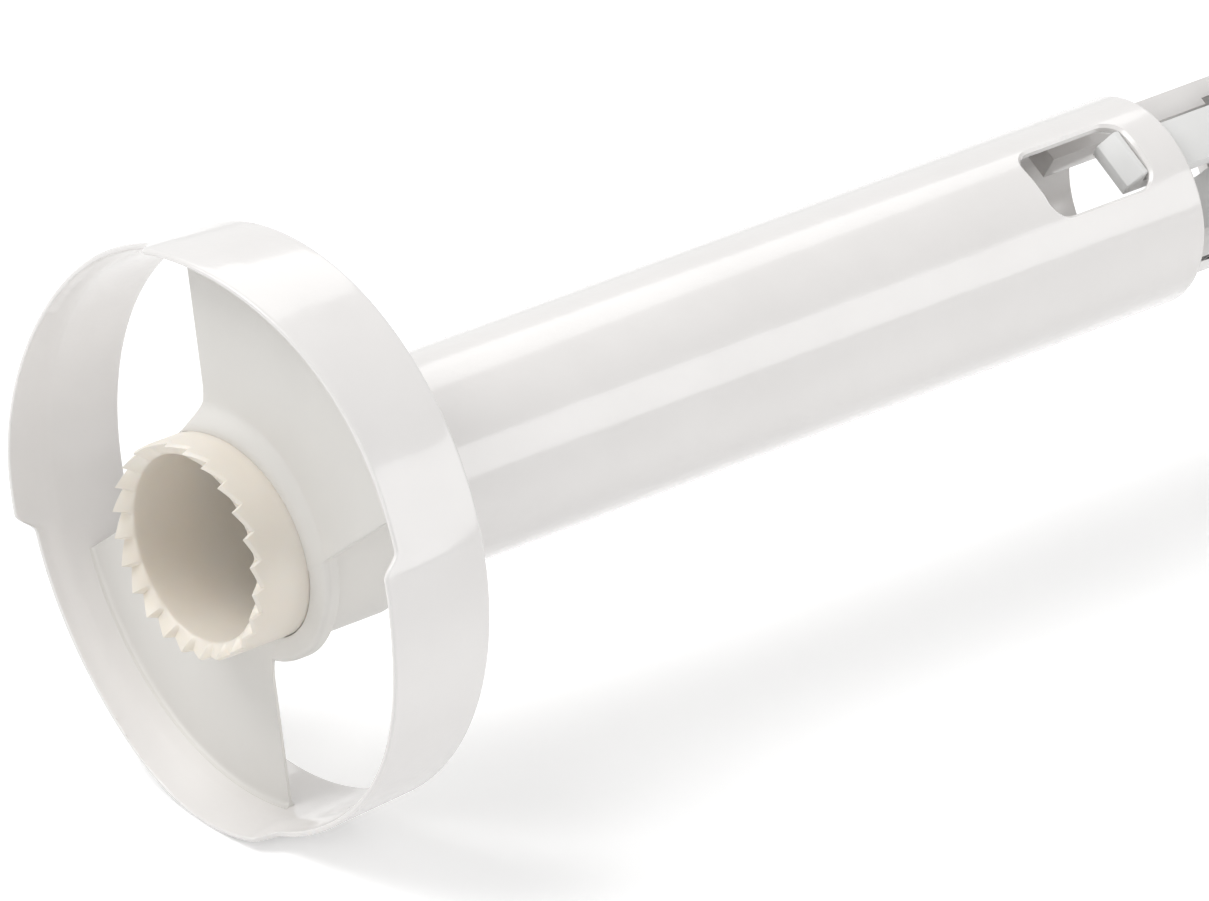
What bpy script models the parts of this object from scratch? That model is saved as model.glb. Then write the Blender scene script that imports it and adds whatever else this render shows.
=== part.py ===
"""Pineapple slicer with a detachable T-handle, lying on its side.

The tool's axis runs along +X, from the saw-edged cutting end to the grip.
Stations are lengths along that axis, measured from the ring's back rim,
negative towards the teeth. Angles round the axis are measured from +Z
towards +Y. All lengths are in metres.
"""
import math

import bmesh
import bpy
from mathutils import Matrix, Vector

# Fits and cutting allowances
GAP = 0.0003
OVERRUN = 0.003
MERGE = 0.00002
REACH_FACTOR = 1.5
SHARP_ANGLE = math.radians(32.0)
STRAIGHT = 0.99

# Cutting ring: a thin flared hoop with a four-step saw edge
RING_BACK_RADIUS = 0.0450
RING_FRONT_RADIUS = 0.0462
RING_WALL = 0.0018
RING_LIP_WALL = 0.0008
RING_LENGTH = 0.0164
RING_STEP_HEIGHT = 0.0030
RING_STEP_COUNT = 4
RING_STEP_SEGMENTS = 20
RING_RISE_SHARE = 0.88
RING_TIP_ANGLE = math.radians(-75.0)
RING_EDGE_ROUND = 0.0009
RING_LIP_LENGTH = 0.0035

# Slicing blades: two sectors of one helicoid, half a turn and half a pitch apart
BLADE_PITCH = 0.0075
BLADE_LEAD_STATION = -0.0135
BLADE_LEAD_ANGLE = math.radians(10.6)
BLADE_LEAD_OFFSET = 0.0013
BLADE_THICKNESS = 0.0020
BLADE_FILLET = 0.0018
BLADE_ROOT_FILLET = 0.0006
BLADE_FILLET_POINTS = 4
BLADE_TRAIL_ANGLE = math.radians(-50.5)
BLADE_TRAIL_OFFSET = 0.0105
BLADE_ROOT_RADIUS = 0.0035
BLADE_ROOT_SHARE = 0.85
BLADE_ROOT_SEGMENTS = 6
BLADE_STEP_ANGLE = math.radians(5.0)
BLADE_SWEEP_STEPS = 20
BLADE_SPARE_STEPS = 8
BLADE_BEVEL_LENGTH = 0.0030
BLADE_EDGE_THICKNESS = 0.0005

# Hub collar: its front edge runs from ahead of the front blade back to the rear blade
COLLAR_WALL = 0.0036
COLLAR_LIP_WIDTH = 0.0008
COLLAR_LIP = 0.0022
COLLAR_REAR_LIP = 0.0010
COLLAR_PITCH = 0.0135
COLLAR_BACK = 0.0070
COLLAR_EDGE_ROUND = 0.0005
COLLAR_ROOT_ANGLE = math.radians(18.0)
COLLAR_RETURN_ANGLE = math.radians(20.0)
COLLAR_SEGMENTS = 72

# Saw crown: the toothed nose of the core tube
CROWN_PROUD = 0.00015
CROWN_WALL = 0.0023
CROWN_TIP = -0.0223
CROWN_TOOTH_HEIGHT = 0.0017
CROWN_TEETH = 24
CROWN_TOOTH_SEGMENTS = 4
CROWN_BEVEL = 0.0024
CROWN_SPIGOT_LENGTH = 0.0060
CROWN_SPIGOT_WALL = 0.0010

# Core tube with two latch windows
TUBE_RADIUS = 0.01675
TUBE_WALL = 0.0020
TUBE_END = 0.1656
TUBE_EDGE_ROUND = 0.0004
TUBE_SEGMENTS = 64
WINDOW_WIDTH = 0.0126
WINDOW_LENGTH = 0.0200
WINDOW_TO_END = 0.0073
WINDOW_CORNER = 0.0031
WINDOW_CORNER_SEGMENTS = 5
WINDOW_ANGLE = math.radians(-31.0)

# Handle neck: a tube carrying two drive tongues that enter the core tube
NECK_INSET = 0.00075
NECK_WALL = 0.0025
NECK_CLEAR = 0.0244
NECK_LENGTH = 0.0270
NECK_SEGMENTS = 48
TONGUE_DEPTH = 0.0100
TONGUE_WIDTH = 0.0046
TONGUE_THICKNESS = 0.0044
TONGUE_OVERLAP = 0.0090
TONGUE_SHOULDER_LENGTH = 0.0032
TONGUE_SHOULDER_INSET = 0.00055
TONGUE_ROUND = 0.0004
TONGUE_SEGMENTS = 1
NECK_PLATE_THICKNESS = 0.0030
NECK_PLATE_HALF_LENGTH = 0.0190
NECK_PLATE_CORNER = 0.0030
NECK_PLATE_SEGMENTS = 3

# Grip: two shells, split square to the tool's axis
GRIP_HALF_WIDTH = 0.0165
GRIP_HALF_DEPTH = 0.0130
GRIP_CORNER = 0.0150
GRIP_EDGE_ROUND = 0.0070
GRIP_WALL = 0.0022
GRIP_CORNER_SEGMENTS = 7
GRIP_EDGE_SEGMENTS = 4

# Grip screws, one row on each side of the neck
SCREW_PLACES = (0.0270, 0.0385)
SCREW_RADIUS = 0.0014
SCREW_HEAD_RADIUS = 0.0027
SCREW_HEAD_HEIGHT = 0.0018
SCREW_RECESS = 0.0008
SCREW_BITE = 0.0070
SCREW_SEGMENTS = 16
SCREW_SLOT_WIDTH = 0.0009
SCREW_SLOT_DEPTH = 0.0008
BOSS_RADIUS = 0.0040

# Latch carrier and the two springy latch arms
CARRIER_HALF_HEIGHT = 0.0050
CARRIER_HALF_WIDTH = 0.0060
CARRIER_LENGTH = 0.0150
CARRIER_ROUND = 0.0006
CARRIER_SEGMENTS = 2
ARM_THICKNESS = 0.0022
ARM_HALF_WIDTH = 0.0042
ARM_CLEAR = 0.0006
ARM_JOG_LENGTH = 0.0080
HOOK_LENGTH = 0.0032
HOOK_RAMP = 0.0022

# Release buttons
BUTTON_LENGTH = 0.0110
BUTTON_WIDTH = 0.0090
BUTTON_PROUD = 0.0020
BUTTON_FLANGE = 0.0010
BUTTON_STATION_SHARE = 0.42
BUTTON_ROUND = 0.0012
BUTTON_SEGMENTS = 2
BUTTON_DOME_SEGMENTS = 3

# Worked out from the sizes above
RING_SEGMENTS = RING_STEP_COUNT * RING_STEP_SEGMENTS
RING_FLARE = (RING_FRONT_RADIUS - RING_BACK_RADIUS) / RING_LENGTH
CROWN_RADIUS = TUBE_RADIUS + CROWN_PROUD
CROWN_INNER_RADIUS = CROWN_RADIUS - CROWN_WALL
CROWN_SEGMENTS = CROWN_TEETH * CROWN_TOOTH_SEGMENTS
COLLAR_INNER_RADIUS = CROWN_RADIUS + GAP
COLLAR_RADIUS = COLLAR_INNER_RADIUS + COLLAR_WALL
COLLAR_START = BLADE_LEAD_STATION - COLLAR_LIP
TUBE_INNER_RADIUS = TUBE_RADIUS - TUBE_WALL
WINDOW_FAR = TUBE_END - WINDOW_TO_END
WINDOW_NEAR = WINDOW_FAR - WINDOW_LENGTH
NECK_RADIUS = TUBE_INNER_RADIUS - NECK_INSET
NECK_FRONT = TUBE_END + NECK_CLEAR
NECK_INNER_RADIUS = NECK_RADIUS - NECK_WALL
NECK_BACK = NECK_FRONT + NECK_LENGTH
NECK_BARREL_END = NECK_BACK - NECK_PLATE_THICKNESS / 2
TONGUE_OUTER = TUBE_INNER_RADIUS - GAP
TONGUE_SHOULDER_RADIUS = TUBE_RADIUS - TONGUE_SHOULDER_INSET
GRIP_FRONT = NECK_BACK - NECK_PLATE_THICKNESS - GAP - GRIP_WALL
GRIP_SPLIT = GRIP_FRONT + GRIP_HALF_DEPTH
GRIP_BACK = GRIP_SPLIT + GRIP_HALF_DEPTH
AXIS_HEIGHT = RING_FRONT_RADIUS
GRIP_CORNER_DROP = (GRIP_HALF_WIDTH - GRIP_CORNER) * abs(math.sin(WINDOW_ANGLE))
GRIP_CORNER_HEIGHT = AXIS_HEIGHT - GAP - GRIP_CORNER - GRIP_CORNER_DROP
GRIP_HALF_LENGTH = GRIP_CORNER + GRIP_CORNER_HEIGHT / math.cos(WINDOW_ANGLE)
SEAT_SKIN = GRIP_WALL + GAP
CARRIER_BACK = GRIP_BACK - SEAT_SKIN
CARRIER_FRONT = CARRIER_BACK - CARRIER_LENGTH
ARM_INNER = CARRIER_HALF_HEIGHT + GAP
ARM_OUTER = ARM_INNER + ARM_THICKNESS
ARM_LIFT = math.sqrt(TUBE_INNER_RADIUS ** 2 - ARM_HALF_WIDTH ** 2) - ARM_CLEAR
ARM_TIP = WINDOW_FAR - GAP - HOOK_LENGTH
BUTTON_STATION = NECK_FRONT + NECK_LENGTH * BUTTON_STATION_SHARE
MIDDLE = (GRIP_BACK + CROWN_TIP) / 2


def clear_scene():
    """Remove every object that the open file holds."""
    for item in list(bpy.data.objects):
        bpy.data.objects.remove(item, do_unlink=True)


def collection(name):
    """A new collection, linked to the scene."""
    group = bpy.data.collections.new(name)
    bpy.context.scene.collection.children.link(group)
    return group


def plastic(name, colour, roughness, metallic=0.0):
    """A Principled material in one colour."""
    material = bpy.data.materials.new(name)
    material.use_nodes = True
    shader = material.node_tree.nodes["Principled BSDF"]
    shader.inputs["Base Color"].default_value = (*colour, 1.0)
    shader.inputs["Roughness"].default_value = roughness
    shader.inputs["Metallic"].default_value = metallic
    return material


def axis_empty(name, group, roll, parent=None):
    """An empty on the tool's axis, turned about it."""
    empty = bpy.data.objects.new(name, None)
    empty.location = (0.0, 0.0, 0.0) if parent else (-MIDDLE, 0.0, AXIS_HEIGHT)
    empty.rotation_euler = (roll, 0.0, 0.0)
    empty.parent = parent
    group.objects.link(empty)
    return empty


def add_object(name, bm, group, parent, material=None):
    """Turn a bmesh into a named object with outward faces."""
    bmesh.ops.remove_doubles(bm, verts=bm.verts, dist=MERGE)
    bmesh.ops.recalc_face_normals(bm, faces=bm.faces)
    mesh = bpy.data.meshes.new(name)
    bm.to_mesh(mesh)
    bm.free()
    item = bpy.data.objects.new(name, mesh)
    item.parent = parent
    group.objects.link(item)
    if material:
        mesh.materials.append(material)
        mesh.shade_smooth()
        mesh.set_sharp_from_angle(angle=SHARP_ANGLE)
    return item


def add_cutter(name, bm, group, parent):
    """A cutter is an object that only shows as wire."""
    item = add_object(name, bm, group, parent)
    item.hide_render = True
    item.display_type = "WIRE"
    return item


def boolean(target, tool, operation="DIFFERENCE"):
    """Cut or join with an exact Boolean modifier."""
    modifier = target.modifiers.new(f"{operation.lower()} {tool.name}", "BOOLEAN")
    modifier.operation = operation
    modifier.object = tool
    modifier.solver = "EXACT"


def polar(radius, angle, station):
    """A point at an angle from +Z towards +Y about the X axis."""
    return Vector((station, radius * math.sin(angle), radius * math.cos(angle)))


def turn_about_x(profile, segments, start=0.0):
    """Spin a closed profile of (station, radius) points right round the X axis."""
    bm = bmesh.new()
    ring = [bm.verts.new(polar(radius, start, station)) for station, radius in profile]
    edges = [bm.edges.new((a, b)) for a, b in zip(ring, ring[1:] + ring[:1])]
    bmesh.ops.spin(
        bm, geom=ring + edges, axis=(-1.0, 0.0, 0.0), cent=(0.0, 0.0, 0.0),
        angle=math.tau, steps=segments, use_merge=True,
    )
    return bm


def sweep_helix(profile, start, end, pitch):
    """Spin a closed face about X from one angle to another, rising as the angle falls."""
    bm = bmesh.new()
    steps = round(abs(end - start) / BLADE_STEP_ANGLE)
    rise = pitch * (start - end) / math.tau / steps
    corners = [bm.verts.new(polar(radius, start, station)) for station, radius in profile]
    face = bm.faces.new(corners)
    bmesh.ops.spin(
        bm, geom=[face], axis=(1.0, 0.0, 0.0), cent=(0.0, 0.0, 0.0),
        dvec=(rise, 0.0, 0.0), angle=start - end, steps=steps,
    )
    return bm


def box(low, high):
    """A block between two corners."""
    low = Vector(low)
    high = Vector(high)
    size = high - low
    bm = bmesh.new()
    bmesh.ops.create_cube(bm, size=1.0)
    place = Matrix.Translation((low + high) / 2) @ Matrix.Diagonal((*size, 1.0))
    bmesh.ops.transform(bm, matrix=place, verts=bm.verts)
    return bm


def round_edges(bm, radius, segments, along=None):
    """Bevel all edges, or those that run along one axis."""
    edges = bm.edges[:]
    if along is not None:
        edges = [edge for edge in edges
                 if abs((edge.verts[0].co - edge.verts[1].co).normalized()[along]) > STRAIGHT]
    bmesh.ops.bevel(
        bm, geom=edges, offset=radius, segments=segments, profile=0.5, affect="EDGES",
        clamp_overlap=True,
    )
    return bm


def rod(radius, start, end, segments, across=(0.0, 0.0)):
    """A cylinder along X at a place (y, z) beside the axis."""
    bm = bmesh.new()
    length = end - start
    bmesh.ops.create_cone(
        bm, cap_ends=True, segments=segments, radius1=radius, radius2=radius, depth=length,
    )
    place = Matrix.Translation((start + length / 2, *across))
    bmesh.ops.transform(
        bm, matrix=place @ Matrix.Rotation(math.pi / 2, 4, "Y"), verts=bm.verts)
    return bm


def joined(*shapes):
    """Several separate solids in one bmesh."""
    whole = bmesh.new()
    for shape in shapes:
        mesh = bpy.data.meshes.new("shape")
        shape.to_mesh(mesh)
        shape.free()
        whole.from_mesh(mesh)
        bpy.data.meshes.remove(mesh)
    return whole


def ring_inner_radius(station):
    """Inside radius of the flared ring at a station."""
    return RING_BACK_RADIUS - RING_WALL - station * RING_FLARE


def blade_station(angle):
    """Station of the blades' front face on the helix, which runs back as the angle falls."""
    return BLADE_LEAD_STATION + BLADE_PITCH * (BLADE_LEAD_ANGLE - angle) / math.tau


def eased(share):
    """A soft S from 0 to 1."""
    share = min(1.0, max(0.0, share))
    return share * share * (3.0 - 2.0 * share)


def ring_saw(angle):
    """How far the saw edge stands ahead of its valleys: a slow rise to each tip and a quick drop."""
    pitch = math.tau / RING_STEP_COUNT
    share = ((angle - RING_TIP_ANGLE) % pitch) / pitch
    drop = 1.0 / RING_STEP_SEGMENTS
    if share < drop:
        return RING_STEP_HEIGHT * (1.0 - share / drop)
    return RING_STEP_HEIGHT * eased((share - drop) / RING_RISE_SHARE) ** 2


def crown_saw(angle):
    """How far a crown tooth stands behind its tip at an angle."""
    pitch = math.tau / CROWN_TEETH
    share = (angle % pitch) / pitch
    drop = 1.0 / CROWN_TOOTH_SEGMENTS
    if share < drop:
        return CROWN_TOOTH_HEIGHT * share / drop
    return CROWN_TOOTH_HEIGHT * (1.0 - share) / (1.0 - drop)


def make_cutting_ring(group, parent, material):
    """The outer hoop, whose lip is pushed forward into four saw steps."""
    soft = RING_EDGE_ROUND
    lip_start = -RING_LENGTH + RING_LIP_LENGTH
    back_inner = ring_inner_radius(0.0)
    profile = [
        (0.0, RING_BACK_RADIUS - soft),
        (-soft, RING_BACK_RADIUS),
        (lip_start, RING_BACK_RADIUS - lip_start * RING_FLARE),
        (-RING_LENGTH, RING_FRONT_RADIUS),
        (-RING_LENGTH, RING_FRONT_RADIUS - RING_LIP_WALL),
        (lip_start, ring_inner_radius(lip_start)),
        (-soft / 2, back_inner),
        (0.0, back_inner + soft / 2),
    ]
    bm = turn_about_x(profile, RING_SEGMENTS, RING_TIP_ANGLE)
    for vert in bm.verts:
        if vert.co.x < lip_start - MERGE:
            vert.co.x -= ring_saw(math.atan2(vert.co.y, vert.co.z))
    return add_object("cutting_ring", bm, group, parent, material)


def fillet_curve(radius):
    """Points (out, up) of a fillet, from the flat of a vane to the wall beside it."""
    angles = [math.pi / 2 * step / BLADE_FILLET_POINTS for step in range(BLADE_FILLET_POINTS + 1)]
    return [(radius * (1 - math.sin(a)), radius * (1 - math.cos(a))) for a in angles]


def blade_profile(turns_back):
    """Section of a blade: a flat vane that flares into the collar and the ring."""
    front = blade_station(BLADE_LEAD_ANGLE - math.tau * turns_back)
    middle = front + BLADE_THICKNESS / 2
    half = BLADE_THICKNESS / 2
    inner = COLLAR_RADIUS + GAP
    outer = ring_inner_radius(front) - GAP
    foot = fillet_curve(BLADE_ROOT_FILLET)
    curve = fillet_curve(BLADE_FILLET)
    root_front = [(middle - half - up, inner + out) for out, up in reversed(foot)]
    rim_front = [(middle - half - up, outer - out) for out, up in curve]
    rim_back = [(middle + half + up, outer - out) for out, up in reversed(curve)]
    root_back = [(middle + half + up, inner + out) for out, up in curve]
    return root_front[::-1] + rim_front[::-1] + rim_back[::-1] + root_back[::-1]


def side_frame(angle):
    """Unit vectors along a radius at an angle, and square to it towards larger angles."""
    return polar(1.0, angle, 0.0), polar(1.0, angle + math.pi / 2, 0.0)


def lead_cutter(lead):
    """Everything ahead of a leading edge, less the rounded root at the collar."""
    outward, ahead = side_frame(lead)
    hub = COLLAR_RADIUS
    fillet = BLADE_ROOT_RADIUS
    reach = (RING_FRONT_RADIUS + OVERRUN) * REACH_FACTOR
    centre_ahead = BLADE_LEAD_OFFSET + fillet
    centre_out = math.sqrt((hub + fillet) ** 2 - centre_ahead ** 2)
    swing = math.asin(centre_ahead / (hub + fillet))
    sweep = (math.pi / 2 - swing) * BLADE_ROOT_SHARE
    outline = [outward * reach + ahead * BLADE_LEAD_OFFSET]
    for step in range(BLADE_ROOT_SEGMENTS + 1):
        angle = -math.pi / 2 - sweep * step / BLADE_ROOT_SEGMENTS
        along = centre_out + fillet * math.cos(angle)
        outline.append(outward * along + ahead * (centre_ahead + fillet * math.sin(angle)))
    inside = hub - OVERRUN
    outline.append(outline[-1].normalized() * inside)
    far = side_frame(lead + BLADE_STEP_ANGLE * (BLADE_SPARE_STEPS + 1))[0]
    outline += [far * inside, far * reach]
    start = Vector((CROWN_TIP, 0.0, 0.0))
    return prism([start + point for point in outline], (COLLAR_BACK - CROWN_TIP, 0.0, 0.0))


def trail_cutter(trail):
    """Everything behind a trailing edge, which runs beside a radius."""
    outward, ahead = side_frame(trail)
    reach = (RING_FRONT_RADIUS + OVERRUN) * REACH_FACTOR
    near = ahead * -BLADE_TRAIL_OFFSET
    far = ahead * -reach
    along = outward * reach
    start = Vector((CROWN_TIP, 0.0, 0.0))
    outline = [near + along, near - along, far - along, far + along]
    return prism([start + point for point in outline], (COLLAR_BACK - CROWN_TIP, 0.0, 0.0))


def edge_cutter(lead, front):
    """The wedge that thins a blade from behind towards its leading edge."""
    outward, ahead = side_frame(lead)
    forward = Vector((1.0, 0.0, 0.0))
    slope = (BLADE_THICKNESS - BLADE_EDGE_THICKNESS) / BLADE_BEVEL_LENGTH
    low = OVERRUN
    high = BLADE_BEVEL_LENGTH + OVERRUN
    edge = front + BLADE_EDGE_THICKNESS
    back = front + BLADE_THICKNESS + 2 * OVERRUN
    inner = COLLAR_RADIUS + BLADE_ROOT_RADIUS
    outer = ring_inner_radius(front) - GAP - BLADE_FILLET
    outline = [
        forward * (edge - low * slope) + ahead * low,
        forward * (edge + high * slope) - ahead * high,
        forward * back - ahead * high,
        forward * back + ahead * low,
    ]
    start = outward * inner + ahead * BLADE_LEAD_OFFSET
    return prism([start + point for point in outline], outward * (outer - inner))


def prism(outline, along):
    """Extrude a flat outline along a vector."""
    bm = bmesh.new()
    face = bm.faces.new([bm.verts.new(point) for point in outline])
    moved = bmesh.ops.extrude_face_region(bm, geom=[face])["geom"]
    verts = [item for item in moved if isinstance(item, bmesh.types.BMVert)]
    bmesh.ops.translate(bm, vec=along, verts=verts)
    return bm


def seat_rim(vane, rim):
    """Stretch the vane outwards from the collar, to lie just inside the flared ring."""
    root = COLLAR_RADIUS + GAP
    for vert in vane.verts:
        radius = math.hypot(vert.co.y, vert.co.z)
        stretch = (ring_inner_radius(vert.co.x) - GAP - root) / (rim - root)
        wanted = root + (radius - root) * stretch
        vert.co.y *= wanted / radius
        vert.co.z *= wanted / radius


def make_blade(name, turns_back, group, cutters, parent, material):
    """One helical vane, trimmed at its leading and trailing edges."""
    turn = -math.tau * turns_back
    lead = BLADE_LEAD_ANGLE + turn
    start = lead + BLADE_STEP_ANGLE * BLADE_SPARE_STEPS
    end = lead - BLADE_STEP_ANGLE * BLADE_SWEEP_STEPS
    shift = -BLADE_PITCH * (start - lead) / math.tau
    profile = [(station + shift, radius) for station, radius in blade_profile(turns_back)]
    vane = sweep_helix(profile, start, end, BLADE_PITCH)
    front = blade_station(lead)
    seat_rim(vane, ring_inner_radius(front) - GAP)
    blade = add_object(name, vane, group, parent, material)
    cuts = {
        "lead": lead_cutter(lead),
        "trail": trail_cutter(BLADE_TRAIL_ANGLE + turn),
        "edge": edge_cutter(lead, front),
    }
    for word, form in cuts.items():
        boolean(blade, add_cutter(f"{name}_{word}_cut", form, cutters, parent))
    return blade


def collar_front(angle, out):
    """Station of the collar's front, from its lip (0) out to the level of the blades (1)."""
    back = (BLADE_LEAD_ANGLE + COLLAR_ROOT_ANGLE - angle) % math.tau
    past_lead = max(min(back, math.tau - COLLAR_RETURN_ANGLE) - COLLAR_ROOT_ANGLE, 0.0)
    level = blade_station(BLADE_LEAD_ANGLE - past_lead)
    ramp = COLLAR_START + COLLAR_PITCH * past_lead / math.tau
    beside = blade_station(BLADE_LEAD_ANGLE - max(past_lead, math.pi)) - COLLAR_REAR_LIP
    lip = min(ramp, beside)
    start = COLLAR_START + COLLAR_LIP * out
    left = min((math.tau - back) / COLLAR_RETURN_ANGLE, 1.0)
    return start + (lip + (level - lip) * out - start) * left


def make_hub_collar(group, parent, material):
    """The short sleeve that carries the blades, with a ledge that runs on from blade to blade."""
    soft = COLLAR_EDGE_ROUND
    front = COLLAR_START
    lip_radius = COLLAR_INNER_RADIUS + COLLAR_LIP_WIDTH
    profile = [
        (COLLAR_BACK, COLLAR_RADIUS - soft),
        (COLLAR_BACK - soft, COLLAR_RADIUS),
        (front + soft, COLLAR_RADIUS),
        (front, COLLAR_RADIUS - soft),
        (front, lip_radius),
        (front, COLLAR_INNER_RADIUS),
        (COLLAR_BACK, COLLAR_INNER_RADIUS),
    ]
    bm = turn_about_x(profile, COLLAR_SEGMENTS, BLADE_LEAD_ANGLE + COLLAR_ROOT_ANGLE)
    for vert in bm.verts:
        if vert.co.x < front + soft + MERGE:
            out = 1.0 if math.hypot(vert.co.y, vert.co.z) > lip_radius + MERGE else 0.0
            vert.co.x += collar_front(math.atan2(vert.co.y, vert.co.z), out) - front
    return add_object("hub_collar", bm, group, parent, material)


def make_saw_crown(group, parent, material):
    """The toothed nose, with a spigot that centres it in the core tube."""
    spigot = CROWN_INNER_RADIUS + CROWN_SPIGOT_WALL
    profile = [
        (CROWN_SPIGOT_LENGTH, spigot),
        (0.0, spigot),
        (0.0, CROWN_RADIUS),
        (CROWN_TIP + CROWN_TOOTH_HEIGHT + CROWN_BEVEL, CROWN_RADIUS),
        (CROWN_TIP, CROWN_RADIUS),
        (CROWN_TIP + CROWN_BEVEL, CROWN_INNER_RADIUS),
        (CROWN_SPIGOT_LENGTH, CROWN_INNER_RADIUS),
    ]
    bm = turn_about_x(profile, CROWN_SEGMENTS)
    bevel_end = CROWN_TIP + CROWN_BEVEL
    for vert in bm.verts:
        if vert.co.x < bevel_end + MERGE:
            vert.co.x += crown_saw(math.atan2(vert.co.y, vert.co.z))
    return add_object("saw_crown", bm, group, parent, material)


def make_core_tube(group, cutters, parent, handle_axis, material):
    """The long tube, with a counterbore at the nose and two latch windows."""
    soft = TUBE_EDGE_ROUND
    counterbore = CROWN_INNER_RADIUS + CROWN_SPIGOT_WALL + GAP
    counterbore_end = CROWN_SPIGOT_LENGTH + GAP
    profile = [
        (TUBE_END, TUBE_RADIUS - soft),
        (TUBE_END - soft, TUBE_RADIUS),
        (GAP, TUBE_RADIUS),
        (GAP, counterbore),
        (counterbore_end, counterbore),
        (counterbore_end, TUBE_INNER_RADIUS),
        (TUBE_END - soft, TUBE_INNER_RADIUS),
        (TUBE_END, TUBE_INNER_RADIUS + soft),
    ]
    tube = add_object("core_tube", turn_about_x(profile, TUBE_SEGMENTS), group, parent, material)
    reach = TUBE_RADIUS + OVERRUN
    half = WINDOW_WIDTH / 2
    window = box((WINDOW_NEAR, -half, -reach), (WINDOW_FAR, half, reach))
    round_edges(window, WINDOW_CORNER, WINDOW_CORNER_SEGMENTS, along=2)
    boolean(tube, add_cutter("window_cut", window, cutters, handle_axis))
    return tube


def make_handle_neck(group, cutters, parent, material):
    """The neck, its two drive tongues and the plate that the grip clamps."""
    barrel = rod(NECK_RADIUS, NECK_FRONT, NECK_BARREL_END, NECK_SEGMENTS)
    neck = add_object("handle_neck", barrel, group, parent, material)
    half_width = GRIP_HALF_WIDTH - GRIP_EDGE_ROUND + GAP
    plate = box(
        (NECK_BACK - NECK_PLATE_THICKNESS, -half_width, -NECK_PLATE_HALF_LENGTH),
        (NECK_BACK, half_width, NECK_PLATE_HALF_LENGTH),
    )
    round_edges(plate, NECK_PLATE_CORNER, NECK_PLATE_SEGMENTS, along=0)
    boolean(neck, add_cutter("neck_plate_form", plate, cutters, parent), "UNION")
    half = TONGUE_WIDTH / 2
    inner = TONGUE_OUTER - TONGUE_THICKNESS
    seat = TUBE_END + GAP
    for side, word in ((1, "right"), (-1, "left")):
        tongue = box(
            (TUBE_END - TONGUE_DEPTH, -half, inner),
            (NECK_FRONT + TONGUE_OVERLAP, half, TONGUE_OUTER),
        )
        shoulder = box(
            (seat, -half - TONGUE_ROUND, inner + TONGUE_ROUND),
            (seat + TONGUE_SHOULDER_LENGTH, half + TONGUE_ROUND, TONGUE_SHOULDER_RADIUS),
        )
        for form, kind in ((tongue, "tongue"), (shoulder, "shoulder")):
            round_edges(form, TONGUE_ROUND, TONGUE_SEGMENTS)
            turn = Matrix.Rotation(-side * math.pi / 2, 4, "X")
            bmesh.ops.transform(form, matrix=turn, verts=form.verts)
            boolean(neck, add_cutter(f"{word}_{kind}_form", form, cutters, parent), "UNION")
    bore = rod(NECK_INNER_RADIUS, NECK_FRONT - OVERRUN, NECK_BACK + OVERRUN, NECK_SEGMENTS)
    boolean(neck, add_cutter("neck_bore_cut", bore, cutters, parent))
    reach = NECK_RADIUS + OVERRUN
    long_half = BUTTON_LENGTH / 2 + GAP
    wide_half = BUTTON_WIDTH / 2 + GAP
    slot = box(
        (BUTTON_STATION - long_half, -wide_half, -reach),
        (BUTTON_STATION + long_half, wide_half, reach),
    )
    round_edges(slot, BUTTON_ROUND, BUTTON_SEGMENTS, along=2)
    boolean(neck, add_cutter("button_slot_cut", slot, cutters, parent))
    return neck


def grip_form(front):
    """Half of the grip as an open skin, its open side on the split."""
    outer_face = GRIP_FRONT if front else GRIP_BACK
    split = GRIP_SPLIT - GAP / 2 if front else GRIP_SPLIT + GAP / 2
    bm = box(
        (min(outer_face, split), -GRIP_HALF_WIDTH, -GRIP_HALF_LENGTH),
        (max(outer_face, split), GRIP_HALF_WIDTH, GRIP_HALF_LENGTH),
    )
    round_edges(bm, GRIP_CORNER, GRIP_CORNER_SEGMENTS, along=0)
    rim = [edge for edge in bm.edges
           if all(abs(vert.co.x - outer_face) < MERGE for vert in edge.verts)]
    bmesh.ops.bevel(
        bm, geom=rim, offset=GRIP_EDGE_ROUND, segments=GRIP_EDGE_SEGMENTS, profile=0.5,
        affect="EDGES", clamp_overlap=True,
    )
    open_side = [face for face in bm.faces
                 if all(abs(vert.co.x - split) < MERGE for vert in face.verts)]
    bmesh.ops.delete(bm, geom=open_side, context="FACES")
    return bm


def screw_spots():
    """Places of the grip screws, as (y, z) in the handle's frame."""
    return [(0.0, side * place) for side in (1, -1) for place in SCREW_PLACES]


def screw_stations():
    """Underside of the heads, and the tips of the screws."""
    seat = GRIP_FRONT + SCREW_RECESS + SCREW_HEAD_HEIGHT
    return seat, GRIP_SPLIT + SCREW_BITE


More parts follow.
